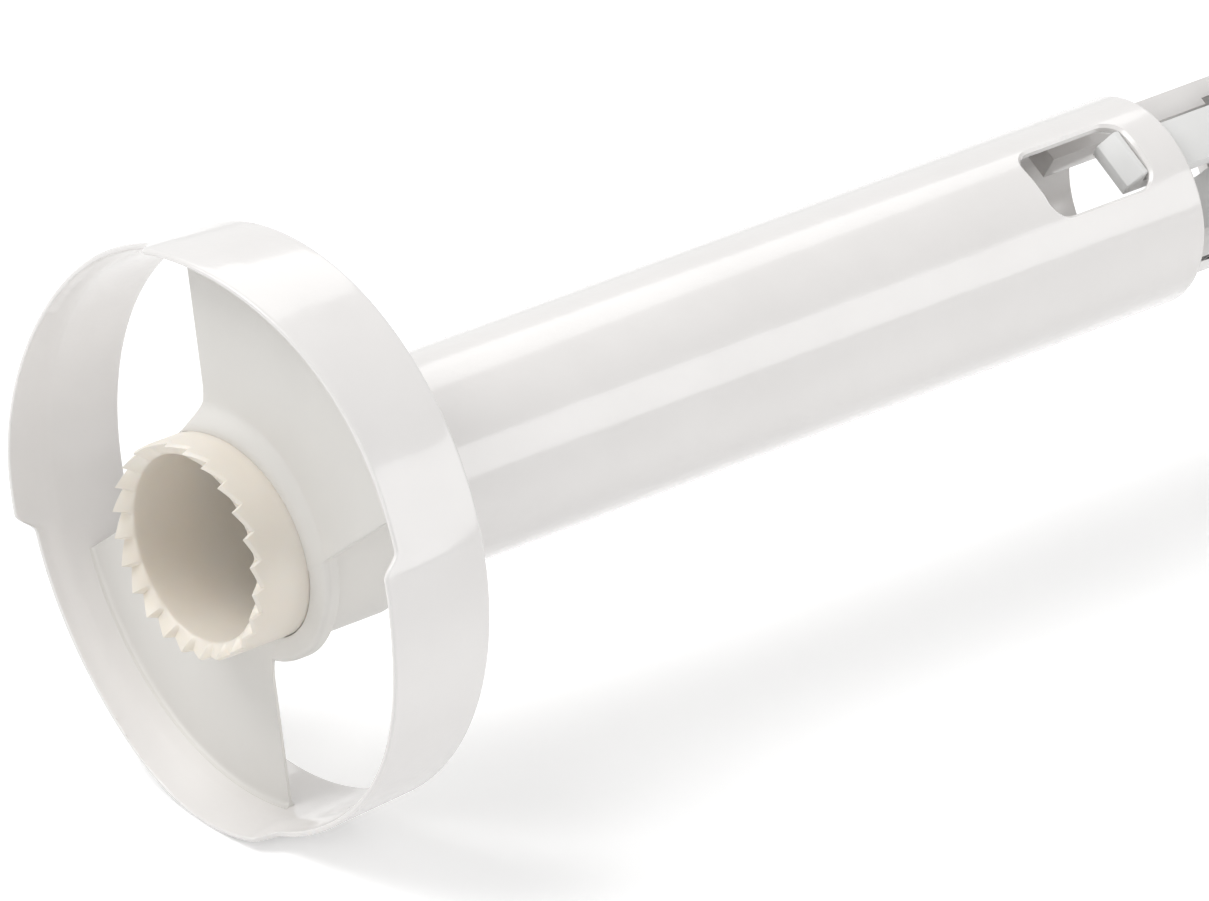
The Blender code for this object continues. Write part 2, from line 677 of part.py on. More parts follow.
def make_grip_shell(name, front, group, cutters, parent, material):
    """A hollow half of the grip with its screw bosses."""
    shell = add_object(name, grip_form(front), group, parent, material)
    skin = shell.modifiers.new("wall", "SOLIDIFY")
    skin.thickness = GRIP_WALL
    skin.offset = -1.0
    skin.use_even_offset = True
    split = GRIP_SPLIT - GAP / 2 if front else GRIP_SPLIT + GAP / 2
    deep = GRIP_FRONT + GRIP_WALL / 2 if front else GRIP_BACK - GRIP_WALL / 2
    ends = (min(split, deep), max(split, deep))
    bosses = joined(*[rod(BOSS_RADIUS, *ends, SCREW_SEGMENTS, spot) for spot in screw_spots()])
    boolean(shell, add_cutter(f"{name}_boss_form", bosses, cutters, parent), "UNION")
    seat, tip = screw_stations()
    hole = SCREW_RADIUS + GAP
    if front:
        head = SCREW_HEAD_RADIUS + GAP
        start = GRIP_FRONT - OVERRUN
        shanks = [rod(hole, start, split + OVERRUN, SCREW_SEGMENTS, spot)
                  for spot in screw_spots()]
        heads = [rod(head, start, seat + GAP, SCREW_SEGMENTS, spot) for spot in screw_spots()]
        boolean(shell, add_cutter(f"{name}_shank_cut", joined(*shanks), cutters, parent))
        boolean(shell, add_cutter(f"{name}_head_cut", joined(*heads), cutters, parent))
        mouth = rod(NECK_RADIUS + GAP, start, NECK_BARREL_END + GAP, NECK_SEGMENTS)
        boolean(shell, add_cutter(f"{name}_mouth_cut", mouth, cutters, parent))
    else:
        holes = [rod(hole, split - OVERRUN, tip + GAP, SCREW_SEGMENTS, spot)
                 for spot in screw_spots()]
        boolean(shell, add_cutter(f"{name}_hole_cut", joined(*holes), cutters, parent))
    return shell


def make_grip_screw(name, across, group, cutters, parent, material):
    """One slotted screw that clamps the grip shells."""
    seat, tip = screw_stations()
    top = seat - SCREW_HEAD_HEIGHT
    profile = [
        (tip, 0.0),
        (tip, SCREW_RADIUS),
        (seat, SCREW_RADIUS),
        (seat, SCREW_HEAD_RADIUS),
        (top, SCREW_HEAD_RADIUS),
        (top, 0.0),
    ]
    bm = bmesh.new()
    line = [bm.verts.new(polar(radius, 0.0, station)) for station, radius in profile]
    edges = [bm.edges.new(pair) for pair in zip(line, line[1:])]
    bmesh.ops.spin(
        bm, geom=line + edges, axis=(-1.0, 0.0, 0.0), cent=(0.0, 0.0, 0.0),
        angle=math.tau, steps=SCREW_SEGMENTS, use_merge=True,
    )
    screw = add_object(name, bm, group, parent, material)
    screw.location = (0.0, *across)
    half = SCREW_SLOT_WIDTH / 2
    reach = SCREW_HEAD_RADIUS + OVERRUN
    slot = box((top - OVERRUN, -reach, -half), (top + SCREW_SLOT_DEPTH, reach, half))
    cut = add_cutter(f"{name}_slot_cut", slot, cutters, parent)
    cut.location = screw.location
    boolean(screw, cut)
    return screw


def make_latch_carrier(group, parent, material):
    """The block inside the grip that both latch arms spring from."""
    carrier = box(
        (CARRIER_FRONT, -CARRIER_HALF_WIDTH, -CARRIER_HALF_HEIGHT),
        (CARRIER_BACK, CARRIER_HALF_WIDTH, CARRIER_HALF_HEIGHT),
    )
    round_edges(carrier, CARRIER_ROUND, CARRIER_SEGMENTS)
    return add_object("latch_carrier", carrier, group, parent, material)


def arm_outline():
    """Side outline of a latch arm: root, jog, straight run in the tube and hook."""
    back = CARRIER_BACK
    low_out = ARM_OUTER
    high_out = ARM_LIFT
    low_in = ARM_INNER
    high_in = ARM_LIFT - ARM_THICKNESS
    jog_back = NECK_FRONT - GAP
    jog_front = jog_back - ARM_JOG_LENGTH
    hook_top = math.sqrt(TUBE_RADIUS ** 2 - ARM_HALF_WIDTH ** 2) - GAP / 2
    hook_back = WINDOW_FAR - GAP
    return [
        (back, low_in),
        (back, low_out),
        (jog_back, low_out),
        (jog_front, high_out),
        (hook_back, high_out),
        (hook_back, hook_top),
        (ARM_TIP + HOOK_RAMP, hook_top),
        (ARM_TIP, high_out),
        (ARM_TIP, high_in),
        (jog_front, high_in),
        (jog_back, low_in),
    ]


def make_latch_arm(name, roll, group, parent, material):
    """A springy arm whose hook stands in a window of the core tube."""
    outline = [(station, -ARM_HALF_WIDTH, lift) for station, lift in arm_outline()]
    form = prism(outline, (0.0, 2 * ARM_HALF_WIDTH, 0.0))
    arm = add_object(name, form, group, parent, material)
    arm.rotation_euler = (roll, 0.0, 0.0)
    return arm


def make_release_button(name, roll, group, cutters, parent, material):
    """A push button in the neck, resting on its latch arm."""
    foot = ARM_OUTER + GAP
    top = NECK_RADIUS + BUTTON_PROUD
    half_length = BUTTON_LENGTH / 2
    half_width = BUTTON_WIDTH / 2
    stem = box((-half_length, -half_width, foot), (half_length, half_width, top))
    round_edges(stem, BUTTON_ROUND, BUTTON_SEGMENTS, along=2)
    rim = [edge for edge in stem.edges if all(abs(v.co.z - top) < MERGE for v in edge.verts)]
    bmesh.ops.bevel(
        stem, geom=rim, offset=BUTTON_ROUND, segments=BUTTON_DOME_SEGMENTS, profile=0.5,
        affect="EDGES", clamp_overlap=True,
    )
    button = add_object(name, stem, group, parent, material)
    button.location = (BUTTON_STATION, 0.0, 0.0)
    button.rotation_euler = (roll, 0.0, 0.0)
    flange_half = half_width - BUTTON_ROUND
    flange_top = math.sqrt(NECK_INNER_RADIUS ** 2 - flange_half ** 2) - 2 * GAP
    flange = box(
        (-half_length - BUTTON_FLANGE, -flange_half, foot),
        (half_length + BUTTON_FLANGE, flange_half, flange_top),
    )
    form = add_cutter(f"{name}_flange_form", flange, cutters, parent)
    form.location = button.location
    form.rotation_euler = button.rotation_euler
    boolean(button, form, "UNION")
    return button


def main():
    """Build every piece of the slicer."""
    clear_scene()
    group = collection("pineapple_slicer")
    cutters = collection("cutters")
    tool_axis = axis_empty("tool_axis", group, 0.0)
    handle_axis = axis_empty("handle_axis", group, -WINDOW_ANGLE, tool_axis)
    white = plastic("white_plastic", (0.82, 0.81, 0.80), 0.28)
    vane_white = plastic("vane_white", (0.74, 0.74, 0.72), 0.35)
    ivory = plastic("ivory_plastic", (0.84, 0.78, 0.67), 0.45)
    inner_white = plastic("latch_white", (0.78, 0.78, 0.77), 0.40)
    steel = plastic("screw_steel", (0.60, 0.60, 0.61), 0.30, 1.0)
    grey = plastic("button_grey", (0.42, 0.43, 0.44), 0.50)

    make_cutting_ring(group, tool_axis, white)
    make_blade("slicing_blade_front", 0.0, group, cutters, tool_axis, vane_white)
    make_blade("slicing_blade_rear", 0.5, group, cutters, tool_axis, vane_white)
    make_hub_collar(group, tool_axis, vane_white)
    make_saw_crown(group, tool_axis, ivory)
    make_core_tube(group, cutters, tool_axis, handle_axis, white)

    make_handle_neck(group, cutters, handle_axis, white)
    make_grip_shell("grip_front_shell", True, group, cutters, handle_axis, white)
    make_grip_shell("grip_back_shell", False, group, cutters, handle_axis, white)
    for number, spot in enumerate(screw_spots(), start=1):
        make_grip_screw(f"grip_screw_{number}", spot, group, cutters, handle_axis, steel)
    make_latch_carrier(group, handle_axis, inner_white)
    for word, roll in (("upper", 0.0), ("lower", math.pi)):
        make_latch_arm(f"latch_arm_{word}", roll, group, handle_axis, inner_white)
        make_release_button(f"release_button_{word}", roll, group, cutters, handle_axis, grey)


main()
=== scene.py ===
"""Looks for the pineapple slicer: camera, studio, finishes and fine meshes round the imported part.

Stations are lengths along the tool's axis from the hoop's back rim, negative
towards the teeth. Angles round the axis run from +Z towards +Y. Each piece is
built about that axis and then moved into the part's frame. Lengths are in
metres.
"""
import math

import bmesh
import bpy
from mathutils import Matrix, Vector


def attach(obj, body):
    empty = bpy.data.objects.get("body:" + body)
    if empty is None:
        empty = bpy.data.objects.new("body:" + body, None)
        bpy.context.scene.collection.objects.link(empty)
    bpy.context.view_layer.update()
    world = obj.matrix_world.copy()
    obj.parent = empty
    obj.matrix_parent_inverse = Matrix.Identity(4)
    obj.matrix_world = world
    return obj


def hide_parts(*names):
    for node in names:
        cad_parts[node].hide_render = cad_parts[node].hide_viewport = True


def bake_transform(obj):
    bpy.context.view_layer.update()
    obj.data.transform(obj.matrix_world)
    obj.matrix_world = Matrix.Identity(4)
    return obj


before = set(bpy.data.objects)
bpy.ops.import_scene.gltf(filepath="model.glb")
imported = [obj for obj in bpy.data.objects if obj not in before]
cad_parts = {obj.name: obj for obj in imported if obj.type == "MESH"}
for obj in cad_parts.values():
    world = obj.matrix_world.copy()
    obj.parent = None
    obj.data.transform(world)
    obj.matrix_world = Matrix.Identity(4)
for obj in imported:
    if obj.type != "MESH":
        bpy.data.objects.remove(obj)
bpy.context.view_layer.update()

# The part's sizes, as its source gives them, with the fine edges that only the looks have
GAP = 0.0003
MIDDLE = 0.1076
AXIS_HEIGHT = 0.0462
HANDLE_ROLL = math.radians(31.0)

HOOP_BACK_RADIUS = 0.0450
HOOP_FRONT_RADIUS = 0.0462
HOOP_WALL = 0.0018
HOOP_LIP_WALL = 0.0008
HOOP_LENGTH = 0.0164
HOOP_LIP_LENGTH = 0.0035
HOOP_STEPS = 4
HOOP_STEP_HEIGHT = 0.0030
HOOP_DROP_SHARE = 0.05
HOOP_RISE_SHARE = 0.88
HOOP_RELIEF = 0.00025
HOOP_TIP_ANGLE = math.radians(-75.0)
HOOP_FLARE = (HOOP_FRONT_RADIUS - HOOP_BACK_RADIUS) / HOOP_LENGTH
HOOP_BACK_EDGE = 0.0008
HOOP_INNER_EDGE = 0.0005
HOOP_FRONT_EDGE = 0.00035
HOOP_LIP_EDGE = 0.00025
HOOP_LIP_BLEND = 0.006

VANE_PITCH = 0.0075
VANE_LEAD_STATION = -0.0135
VANE_LEAD_ANGLE = math.radians(10.6)
VANE_LEAD_OFFSET = 0.0013
VANE_THICKNESS = 0.0020
VANE_FILLET = 0.0018
VANE_RIM_FILLET = 0.0008
VANE_TRAIL_ANGLE = math.radians(-50.5)
VANE_TRAIL_OFFSET = 0.0105
VANE_ROOT_RADIUS = 0.0090
VANE_ROOT_INSET = 0.0005
VANE_ROOT_WIDTH = 0.0038
VANE_ROOT_SEAM = 0.00003
VANE_RIM_SINK = 0.0003
VANE_BEVEL_LENGTH = 0.0030
VANE_EDGE_THICKNESS = 0.0005
VANE_SOFT_EDGE = 0.00012

COLLAR_RADIUS = 0.0208
COLLAR_LOW_RADIUS = 0.0186
COLLAR_CLEARANCE = 0.00012
COLLAR_START = -0.0157
COLLAR_PITCH = 0.0135
COLLAR_REAR_LIP = 0.0003
COLLAR_BACK = 0.0070
COLLAR_BACK_EDGE = 0.0005
COLLAR_BORE_EDGE = 0.0002
COLLAR_ROUND = 0.0009
COLLAR_LEDGE = 0.0024
COLLAR_LEDGE_FILLET = 0.0012
COLLAR_RETURN = math.radians(24.0)
COLLAR_SINK_ANGLE = math.radians(275.0)
COLLAR_RISE_ANGLE = math.radians(15.0)
COLLAR_RISE_SPAN = math.radians(45.0)

CROWN_RADIUS = 0.0169
CROWN_WALL = 0.0023
CROWN_INNER = CROWN_RADIUS - CROWN_WALL
CROWN_TIP = -0.0223
CROWN_TIP_EDGE = 0.00035
CROWN_TAPER = 0.0006
CROWN_TAPER_ROUND = 0.0004
CROWN_TOOTH_HEIGHT = 0.0017
CROWN_TOOTH_DEPTH = 0.8 * CROWN_WALL
CROWN_TEETH = 24
CROWN_TURN = math.radians(-1.5)
CROWN_DROP_SHARE = 0.15
CROWN_BEVEL = 0.0024
CROWN_BEVEL_ROUND = 0.0012
SPIGOT_LENGTH = 0.0060
SPIGOT_WALL = 0.0010

TUBE_RADIUS = 0.01675
TUBE_WALL = 0.0020
TUBE_START = 0.00015
TUBE_END = 0.1656
TUBE_INNER = TUBE_RADIUS - TUBE_WALL
TUBE_OUTER_EDGE = 0.0006
TUBE_INNER_EDGE = 0.0005
WINDOW_WIDTH = 0.0126
WINDOW_FAR = 0.1583
WINDOW_NEAR = 0.1383
WINDOW_CORNER = 0.0031
WINDOW_CHAMFER = 0.0005
WINDOW_MARGIN = 0.0006

NECK_RADIUS = 0.0140
NECK_WALL = 0.0025
NECK_FRONT = 0.1900
NECK_BACK = 0.2170
NECK_PLATE_THICKNESS = 0.0030
NECK_PLATE_HALF_LENGTH = 0.0190
NECK_PLATE_HALF_WIDTH = 0.0098
NECK_PLATE_CORNER = 0.0030
NECK_BARREL_END = NECK_BACK - NECK_PLATE_THICKNESS / 2
NECK_SOFT_EDGE = 0.0003
TONGUE_FRONT = 0.1556
TONGUE_BACK = 0.1990
TONGUE_WIDTH = 0.0046
TONGUE_OUTER = TUBE_INNER - GAP
TONGUE_INNER = 0.01005
SHOULDER_LENGTH = 0.0032
SHOULDER_RADIUS = 0.0162

GRIP_FRONT = 0.2115
GRIP_SPLIT = 0.2245
GRIP_BACK = 0.2375
GRIP_HALF_WIDTH = 0.0165
GRIP_HALF_LENGTH = 0.05045
GRIP_CORNER = 0.0150
GRIP_EDGE = 0.0070
GRIP_WALL = 0.0022
GRIP_SPLIT_CHAMFER = 0.0004
GRIP_SOFT_EDGE = 0.00025
BOSS_RADIUS = 0.0040
SCREW_PLACES = (0.0270, 0.0385)
SCREW_RADIUS = 0.0014
SCREW_TAPER = 0.001
SCREW_HEAD_RADIUS = 0.0027
SCREW_HEAD_HEIGHT = 0.0018
SCREW_HEAD_EDGE = 0.0002
SCREW_HEAD_ROUND = 0.0007
SCREW_SLOT_HALF_WIDTH = 0.00045
SCREW_SLOT_DEPTH = 0.0008
SCREW_RECESS = 0.0008
SCREW_BITE = 0.0070

ARM_BACK = 0.2350
ARM_INNER = 0.0053
ARM_OUTER = 0.0075
ARM_LIFT = 0.01354
ARM_THICKNESS = 0.0022
ARM_HALF_WIDTH = 0.0042
ARM_JOG_BACK = 0.1897
ARM_JOG_FRONT = 0.1817
ARM_BACK_BEND = 0.002
ARM_FRONT_BEND = 0.003
ARM_SOFT_EDGE = 0.0002
HOOK_BACK = 0.1580
HOOK_FRONT = 0.1548
HOOK_RAMP = 0.0022
HOOK_TOP = 0.0160
HOOK_ROOT_EDGE = 0.0004
HOOK_RAMP_EDGE = 0.0005
HOOK_EDGE = 0.0003

BUTTON_STATION = 0.20134
BUTTON_LENGTH = 0.0110
BUTTON_WIDTH = 0.0090
BUTTON_FOOT = 0.0078
BUTTON_TOP = 0.0160
BUTTON_CORNER = 0.0012
BUTTON_EDGE = 0.0008
BUTTON_LOWERED = 0.0004
BUTTON_CROWN = 0.0007
FLANGE_REACH = 0.001
FLANGE_TOP = 0.0104
RIDGE_HEIGHT = 0.00035
RIDGE_PITCH = 0.0026
RIDGE_END = 1.4
RIDGE_FADE = 1.6

# How fine the shown meshes are
VANE_ROOT_SHARE = 0.24
VANE_RIM_SHARE = 0.90
VANE_TURN_SHARE = 0.99
VANE_EDGE_ROWS = (0.0, 0.004, 0.012, 0.024, 0.036, 0.048)
VANE_EDGE_SHARE = 0.06
VANE_ROOT_COLUMNS = 16
VANE_SPAN_COLUMNS = 24
VANE_RIM_COLUMNS = 6
VANE_ROWS = 48
CROWN_ROWS = (0.0, 0.05, 0.10, 0.15, 0.32, 0.49, 0.66, 0.83)
CROWN_ARC_STEPS = 3
WINDOW_CHAMFER_STEPS = 5
GRIP_CORNER_STEPS = 14
GRIP_EDGE_STEPS = 12
BUTTON_EDGE_STEPS = 6
BUTTON_RINGS = [0.92 - 0.08 * step for step in range(12)]
HOOP_SEGMENTS = 720
COLLAR_SEGMENTS = 360
TUBE_SEGMENTS = 256
NECK_SEGMENTS = 128
SCREW_SEGMENTS = 48
HOLE_SEGMENTS = 32
ARC_STEPS = 6
FINE_ARC_STEPS = 10
HOOP_CELL = 0.001
COLLAR_CELL = 0.0004
CROWN_CELL = 0.0008
WINDOW_CELL = 0.0012
ARM_CELL = 0.001
BUTTON_CELL = 0.0005
SHARP_ANGLE = math.radians(28.0)
MERGE = 0.000002
OVERRUN = 0.003

# Grain sizes and depths of the finishes
DRIFT_SIZE = 0.035
CLOUD_SIZE = 0.009
DRIFT_WEIGHT = 0.7
CLOUD_WEIGHT = 0.3
DRIFT_LOW = 0.35
DRIFT_HIGH = 0.65
SMUDGE_SIZE = 0.020
SMUDGE_SWING = 0.06
WAVE_SIZE = 0.006
WAVE_DEPTH = 4.0
COAT_ROUGHNESS = 0.07
GLOW_RADIUS = (0.004, 0.003, 0.002)
STEEL_GRAIN_SIZE = 0.0004
STEEL_STAIN_SIZE = 0.003
STEEL_GRAIN_STRETCH = (0.1, 1.0, 1.0)
STEEL_GRAIN_DEPTH = 0.00001
STEEL_ROUGHNESS = 0.2
STEEL_ROUGHNESS_SWING = 0.2

# The studio
FLOOR_SIZE = 6.0
FLOOR_GREY = 0.90
FLOOR_ROUGHNESS = 0.9
FLOOR_SHINE = 0.1
FLOOR_GLOW = 0.30
AIR_STRENGTH = 0.42
LIGHT_TARGET = (-0.03, 0.0, 0.045)


# Shader maths

class Signal:
    """A shader socket that takes part in sums."""

    def __init__(self, finish, socket):
        self.finish = finish
        self.socket = socket

    def maths(self, operation, *values):
        """A Math node on these values."""
        return self.finish.node("ShaderNodeMath", {"operation": operation},
                                dict(enumerate(values)))

    def __add__(self, other):
        return self.maths("ADD", self, other)

    def __sub__(self, other):
        return self.maths("SUBTRACT", self, other)

    def __rsub__(self, other):
        return self.maths("SUBTRACT", other, self)

    def __mul__(self, other):
        return self.maths("MULTIPLY", self, other)

    __radd__ = __add__
    __rmul__ = __mul__


class Finish:
    """A node tree that is built up one node at a time."""

    def __init__(self, tree):
        self.tree = tree

    def node(self, kind, settings=None, sockets=None, output=0):
        """A node with its settings, then the values or links of its sockets."""
        item = self.tree.nodes.new(kind)
        for key, value in (settings or {}).items():
            setattr(item, key, value)
        for key, value in (sockets or {}).items():
            self.feed(item.inputs[key], value)
        return Signal(self, item.outputs[output])

    def feed(self, socket, value):
        """Give a socket a link or a plain value."""
        if isinstance(value, Signal):
            self.tree.links.new(value.socket, socket)
        else:
            socket.default_value = value

    def noise(self, size, detail=2.0, stretch=(1.0, 1.0, 1.0)):
        """Noise whose grains are about this size, from 0 to 1 round one half."""
        point = self.node("ShaderNodeTexCoord", output="Object")
        spread = self.node("ShaderNodeMapping", {}, {"Vector": point, "Scale": stretch})
        return self.node("ShaderNodeTexNoise", {},
                         {"Vector": spread, "Scale": 1.0 / size, "Detail": detail})

    def ramp(self, value, low, high):
        """0 below low, 1 above high, a straight rise between."""
        return self.node("ShaderNodeMapRange", {"clamp": True},
                         {"Value": value, "From Min": low, "From Max": high})

    def blend(self, share, first, second):
        """A colour between two colours."""
        return self.node("ShaderNodeMix", {"data_type": "RGBA"},
                         {0: share, 6: first, 7: second}, output=2)

    def bump(self, height):
        """A normal from a height in metres."""
        return self.node("ShaderNodeBump", {},
                         {"Height": height, "Strength": 1.0, "Distance": 1.0})


# Finishes

def opaque(colour):
    """A colour with full alpha."""
    return (*colour, 1.0)


def grey(level):
    """A grey with full alpha."""
    return opaque((level, level, level))


def new_finish(name):
    """A new material, its node builder and the inputs of its shader."""
    material = bpy.data.materials.new(name)
    material.use_nodes = True
    inputs = material.node_tree.nodes["Principled BSDF"].inputs
    return material, Finish(material.node_tree), inputs


def moulded_plastic(name, colour, shade, roughness, gloss=0.0, glow=0.0,
                    peel=0.00002, peel_size=0.0012):
    """Injection-moulded plastic: faint colour drift, soft handling marks and a fine orange peel."""
    material, finish, inputs = new_finish(name)
    drift = finish.noise(DRIFT_SIZE, 3.0) * DRIFT_WEIGHT + finish.noise(CLOUD_SIZE) * CLOUD_WEIGHT
    share = finish.ramp(drift, DRIFT_LOW, DRIFT_HIGH)
    finish.feed(inputs["Base Color"], finish.blend(share, opaque(colour), opaque(shade)))
    smudge = finish.noise(SMUDGE_SIZE)
    finish.feed(inputs["Roughness"], (smudge - 0.5) * SMUDGE_SWING + roughness)
    height = finish.noise(peel_size) * peel + finish.noise(WAVE_SIZE, 1.0) * (peel * WAVE_DEPTH)
    finish.feed(inputs["Normal"], finish.bump(height))
    inputs["Coat Weight"].default_value = gloss
    inputs["Coat Roughness"].default_value = COAT_ROUGHNESS
    inputs["Subsurface Weight"].default_value = glow
    inputs["Subsurface Radius"].default_value = GLOW_RADIUS
    inputs["Subsurface Scale"].default_value = 1.0
    return material


def turned_steel(name, colour, shade):
    """Bright steel with fine turning marks round the screw's axis."""
    material, finish, inputs = new_finish(name)
    inputs["Metallic"].default_value = 1.0
    grain = finish.noise(STEEL_GRAIN_SIZE, stretch=STEEL_GRAIN_STRETCH)
    stain = finish.noise(STEEL_STAIN_SIZE)
    finish.feed(inputs["Base Color"], finish.blend(stain, opaque(colour), opaque(shade)))
    finish.feed(inputs["Roughness"], grain * STEEL_ROUGHNESS_SWING + STEEL_ROUGHNESS)
    finish.feed(inputs["Normal"], finish.bump(grain * STEEL_GRAIN_DEPTH))
    return material


WHITE = moulded_plastic("white_gloss_plastic", (0.84, 0.82, 0.805), (0.805, 0.785, 0.77), 0.20,
                        gloss=0.5)
# The vanes and the collar are the same white plastic as the hoop. This darker, greyer satin copy of
# it paints in the shade that falls on them.
WHITE_WITH_PAINTED_SHADE = moulded_plastic("satin_plastic_painted_shade", (0.735, 0.72, 0.69), (0.705, 0.69, 0.66), 0.42)
IVORY = moulded_plastic("ivory_plastic", (0.83, 0.785, 0.715), (0.785, 0.725, 0.64), 0.38,
                        glow=0.2)
LATCH = moulded_plastic("latch_plastic", (0.78, 0.78, 0.77), (0.74, 0.74, 0.73), 0.40)
GREY = moulded_plastic("button_grain_plastic", (0.43, 0.44, 0.45), (0.38, 0.39, 0.40), 0.52,
                       peel=0.00006, peel_size=0.0005)
STEEL = turned_steel("screw_steel", (0.62, 0.62, 0.63), (0.48, 0.48, 0.50))


# Outlines and meshes

def polar(radius, angle, station):
    """A point at an angle from +Z towards +Y about the tool's axis."""
    return Vector((station, radius * math.sin(angle), radius * math.cos(angle)))


def clamped(share):
    """A share held between 0 and 1."""
    return min(1.0, max(0.0, share))


def eased(share):
    """A soft S from 0 to 1."""
    share = clamped(share)
    return share * share * (3.0 - 2.0 * share)


def spaced(low, high, count):
    """Evenly spaced values from low up to high, without high itself."""
    return [low + (high - low) * step / count for step in range(count)]


def even_angles(count):
    """Angles spaced evenly round the axis."""
    return spaced(0.0, math.tau, count)


def quarter_turn(steps):
    """Angles from nothing to a right angle, both included."""
    return [math.pi / 2.0 * step / steps for step in range(steps + 1)]


def rounded(corners, steps=ARC_STEPS):
    """A closed outline through (x, y, radius) corners, each turned into an arc."""
    outline = []
    for index, (x, y, radius) in enumerate(corners):
        here = Vector((x, y))
        if radius == 0.0:
            outline.append(here)
            continue
        before = (Vector(corners[index - 1][:2]) - here).normalized()
        after = (Vector(corners[(index + 1) % len(corners)][:2]) - here).normalized()
        half = before.angle(after) / 2.0
        centre = here + (before + after).normalized() * radius / math.sin(half)
        reach = radius / math.tan(half)
        start = here + before * reach - centre
        end = here + after * reach - centre
        turn = start.angle(end)
        for step in range(steps + 1):
            share = step / steps
            outline.append(centre + (start * math.sin((1.0 - share) * turn)
                                     + end * math.sin(share * turn)) / math.sin(turn))
    return outline


def rounded_box(half_long, half_wide, corner, steps=ARC_STEPS):
    """A closed outline of a rectangle with equal rounded corners."""
    return rounded([(-half_long, -half_wide, corner), (half_long, -half_wide, corner),
                    (half_long, half_wide, corner), (-half_long, half_wide, corner)], steps)


def divided(outline, longest):
    """The same closed outline with its long sides cut into shorter ones."""
    result = []
    for here, after in zip(outline, outline[1:] + outline[:1]):
        count = max(1, math.ceil((after - here).length / longest))
        result += [here.lerp(after, step / count) for step in range(count)]
    return result


def band(bm, first, second, closed):
    """Quads between two rows of corners."""
    for column in range(len(first) if closed else len(first) - 1):
        after = (column + 1) % len(first)
        bm.faces.new((first[column], first[after], second[after], second[column]))


def skin(rows, round_rows=False):
    """A bmesh of quads through rings of points."""
    bm = bmesh.new()
    grid = [[bm.verts.new(point) for point in row] for row in rows]
    for first, second in zip(grid, grid[1:] + (grid[:1] if round_rows else [])):
        band(bm, first, second, True)
    return bm


def skin_closed(rows):
    """Rings of points, with the first and the last ring capped."""
    bm = skin(rows)
    bm.verts.ensure_lookup_table()
    width = len(rows[0])
    bm.faces.new(bm.verts[:width])
    bm.faces.new(bm.verts[-width:])
    return bm


def turned(outline, angles, shift=None):
    """A closed outline of (station, radius) swept round the axis; shift moves stations."""
    rows = []
    for angle in angles:
        rows.append([polar(radius, angle,
                           station + (shift(station, radius, angle) if shift else 0.0))
                     for station, radius in outline])
    return skin(rows, round_rows=True)


def prism(outline, low, high):
    """A flat outline of (station, lift) drawn out sideways."""
    return skin_closed([[Vector((x, side, z)) for x, z in outline] for side in (low, high)])


def block(low, high):
    """A box between two corners."""
    bm = bmesh.new()
    bmesh.ops.create_cube(bm, size=1.0)
    low = Vector(low)
    high = Vector(high)
    fit = Matrix.Translation((low + high) / 2.0) @ Matrix.Diagonal((*(high - low), 1.0))
    bmesh.ops.transform(bm, matrix=fit, verts=bm.verts)
    return bm


def rod(radius, start, end, segments, lift=0.0):
    """A cylinder along the tool's axis, lifted off it."""
    return skin_closed([[Vector((station, radius * math.sin(angle),
                                 lift + radius * math.cos(angle)))
                         for angle in even_angles(segments)] for station in (start, end)])


def rolled(bm, angle):
    """The same bmesh turned about the tool's axis."""
    bmesh.ops.transform(bm, matrix=Matrix.Rotation(angle, 4, "X"), verts=bm.verts)
    return bm


def loose_object(name, bm):
    """An object straight from a bmesh, with outward faces."""
    bmesh.ops.remove_doubles(bm, verts=bm.verts, dist=MERGE)
    bmesh.ops.recalc_face_normals(bm, faces=bm.faces)
    mesh = bpy.data.meshes.new(name)
    bm.to_mesh(mesh)
    bm.free()
    item = bpy.data.objects.new(name, mesh)
    bpy.context.scene.collection.objects.link(item)
    return item


def apply_modifiers(item):
    """Turn the shown shape into the mesh itself."""
    shape = item.evaluated_get(bpy.context.evaluated_depsgraph_get())
    mesh = bpy.data.meshes.new_from_object(shape)
    item.modifiers.clear()
    item.data = mesh


def carve(item, bm, operation="DIFFERENCE"):
    """Cut or join a form with an exact Boolean, applied at once."""
    tool = loose_object("form", bm)
    modifier = item.modifiers.new("carve", "BOOLEAN")
    modifier.operation = operation
    modifier.solver = "EXACT"
    modifier.object = tool
    apply_modifiers(item)
    bpy.data.objects.remove(tool, do_unlink=True)


def soften(item, width, segments=2, angle=math.radians(60.0)):
    """Round the sharp edges of a piece."""
    modifier = item.modifiers.new("soften", "BEVEL")
    modifier.width = width
    modifier.segments = segments
    modifier.limit_method = "ANGLE"
    modifier.angle_limit = angle
    modifier.harden_normals = False
    apply_modifiers(item)


TOOL_FRAME = Matrix.Translation((-MIDDLE, 0.0, AXIS_HEIGHT))
HANDLE_FRAME = TOOL_FRAME @ Matrix.Rotation(HANDLE_ROLL, 4, "X")
LOWER_FRAME = HANDLE_FRAME @ Matrix.Rotation(math.pi, 4, "X")


def place(item, where, finish):
    """Move a piece into the part's frame and give it its finish."""
    item.data.transform(where)
    item.data.materials.clear()
    item.data.materials.append(finish)
    item.data.shade_smooth()
    item.data.set_sharp_from_angle(angle=SHARP_ANGLE)
    return item


# The cutting end

def hoop_inner(station):
    """Inside radius of the flared hoop."""
    return HOOP_BACK_RADIUS - HOOP_WALL - station * HOOP_FLARE


def hoop_saw(angle):
    """How far the saw edge stands ahead of its valleys: a slow rise to a tip, then a quick drop."""
    pitch = math.tau / HOOP_STEPS
    share = ((angle - HOOP_TIP_ANGLE) % pitch) / pitch
    if share < HOOP_DROP_SHARE:
        return HOOP_STEP_HEIGHT * (1.0 - eased(share / HOOP_DROP_SHARE))
    return HOOP_STEP_HEIGHT * eased((share - HOOP_DROP_SHARE) / HOOP_RISE_SHARE) ** 2


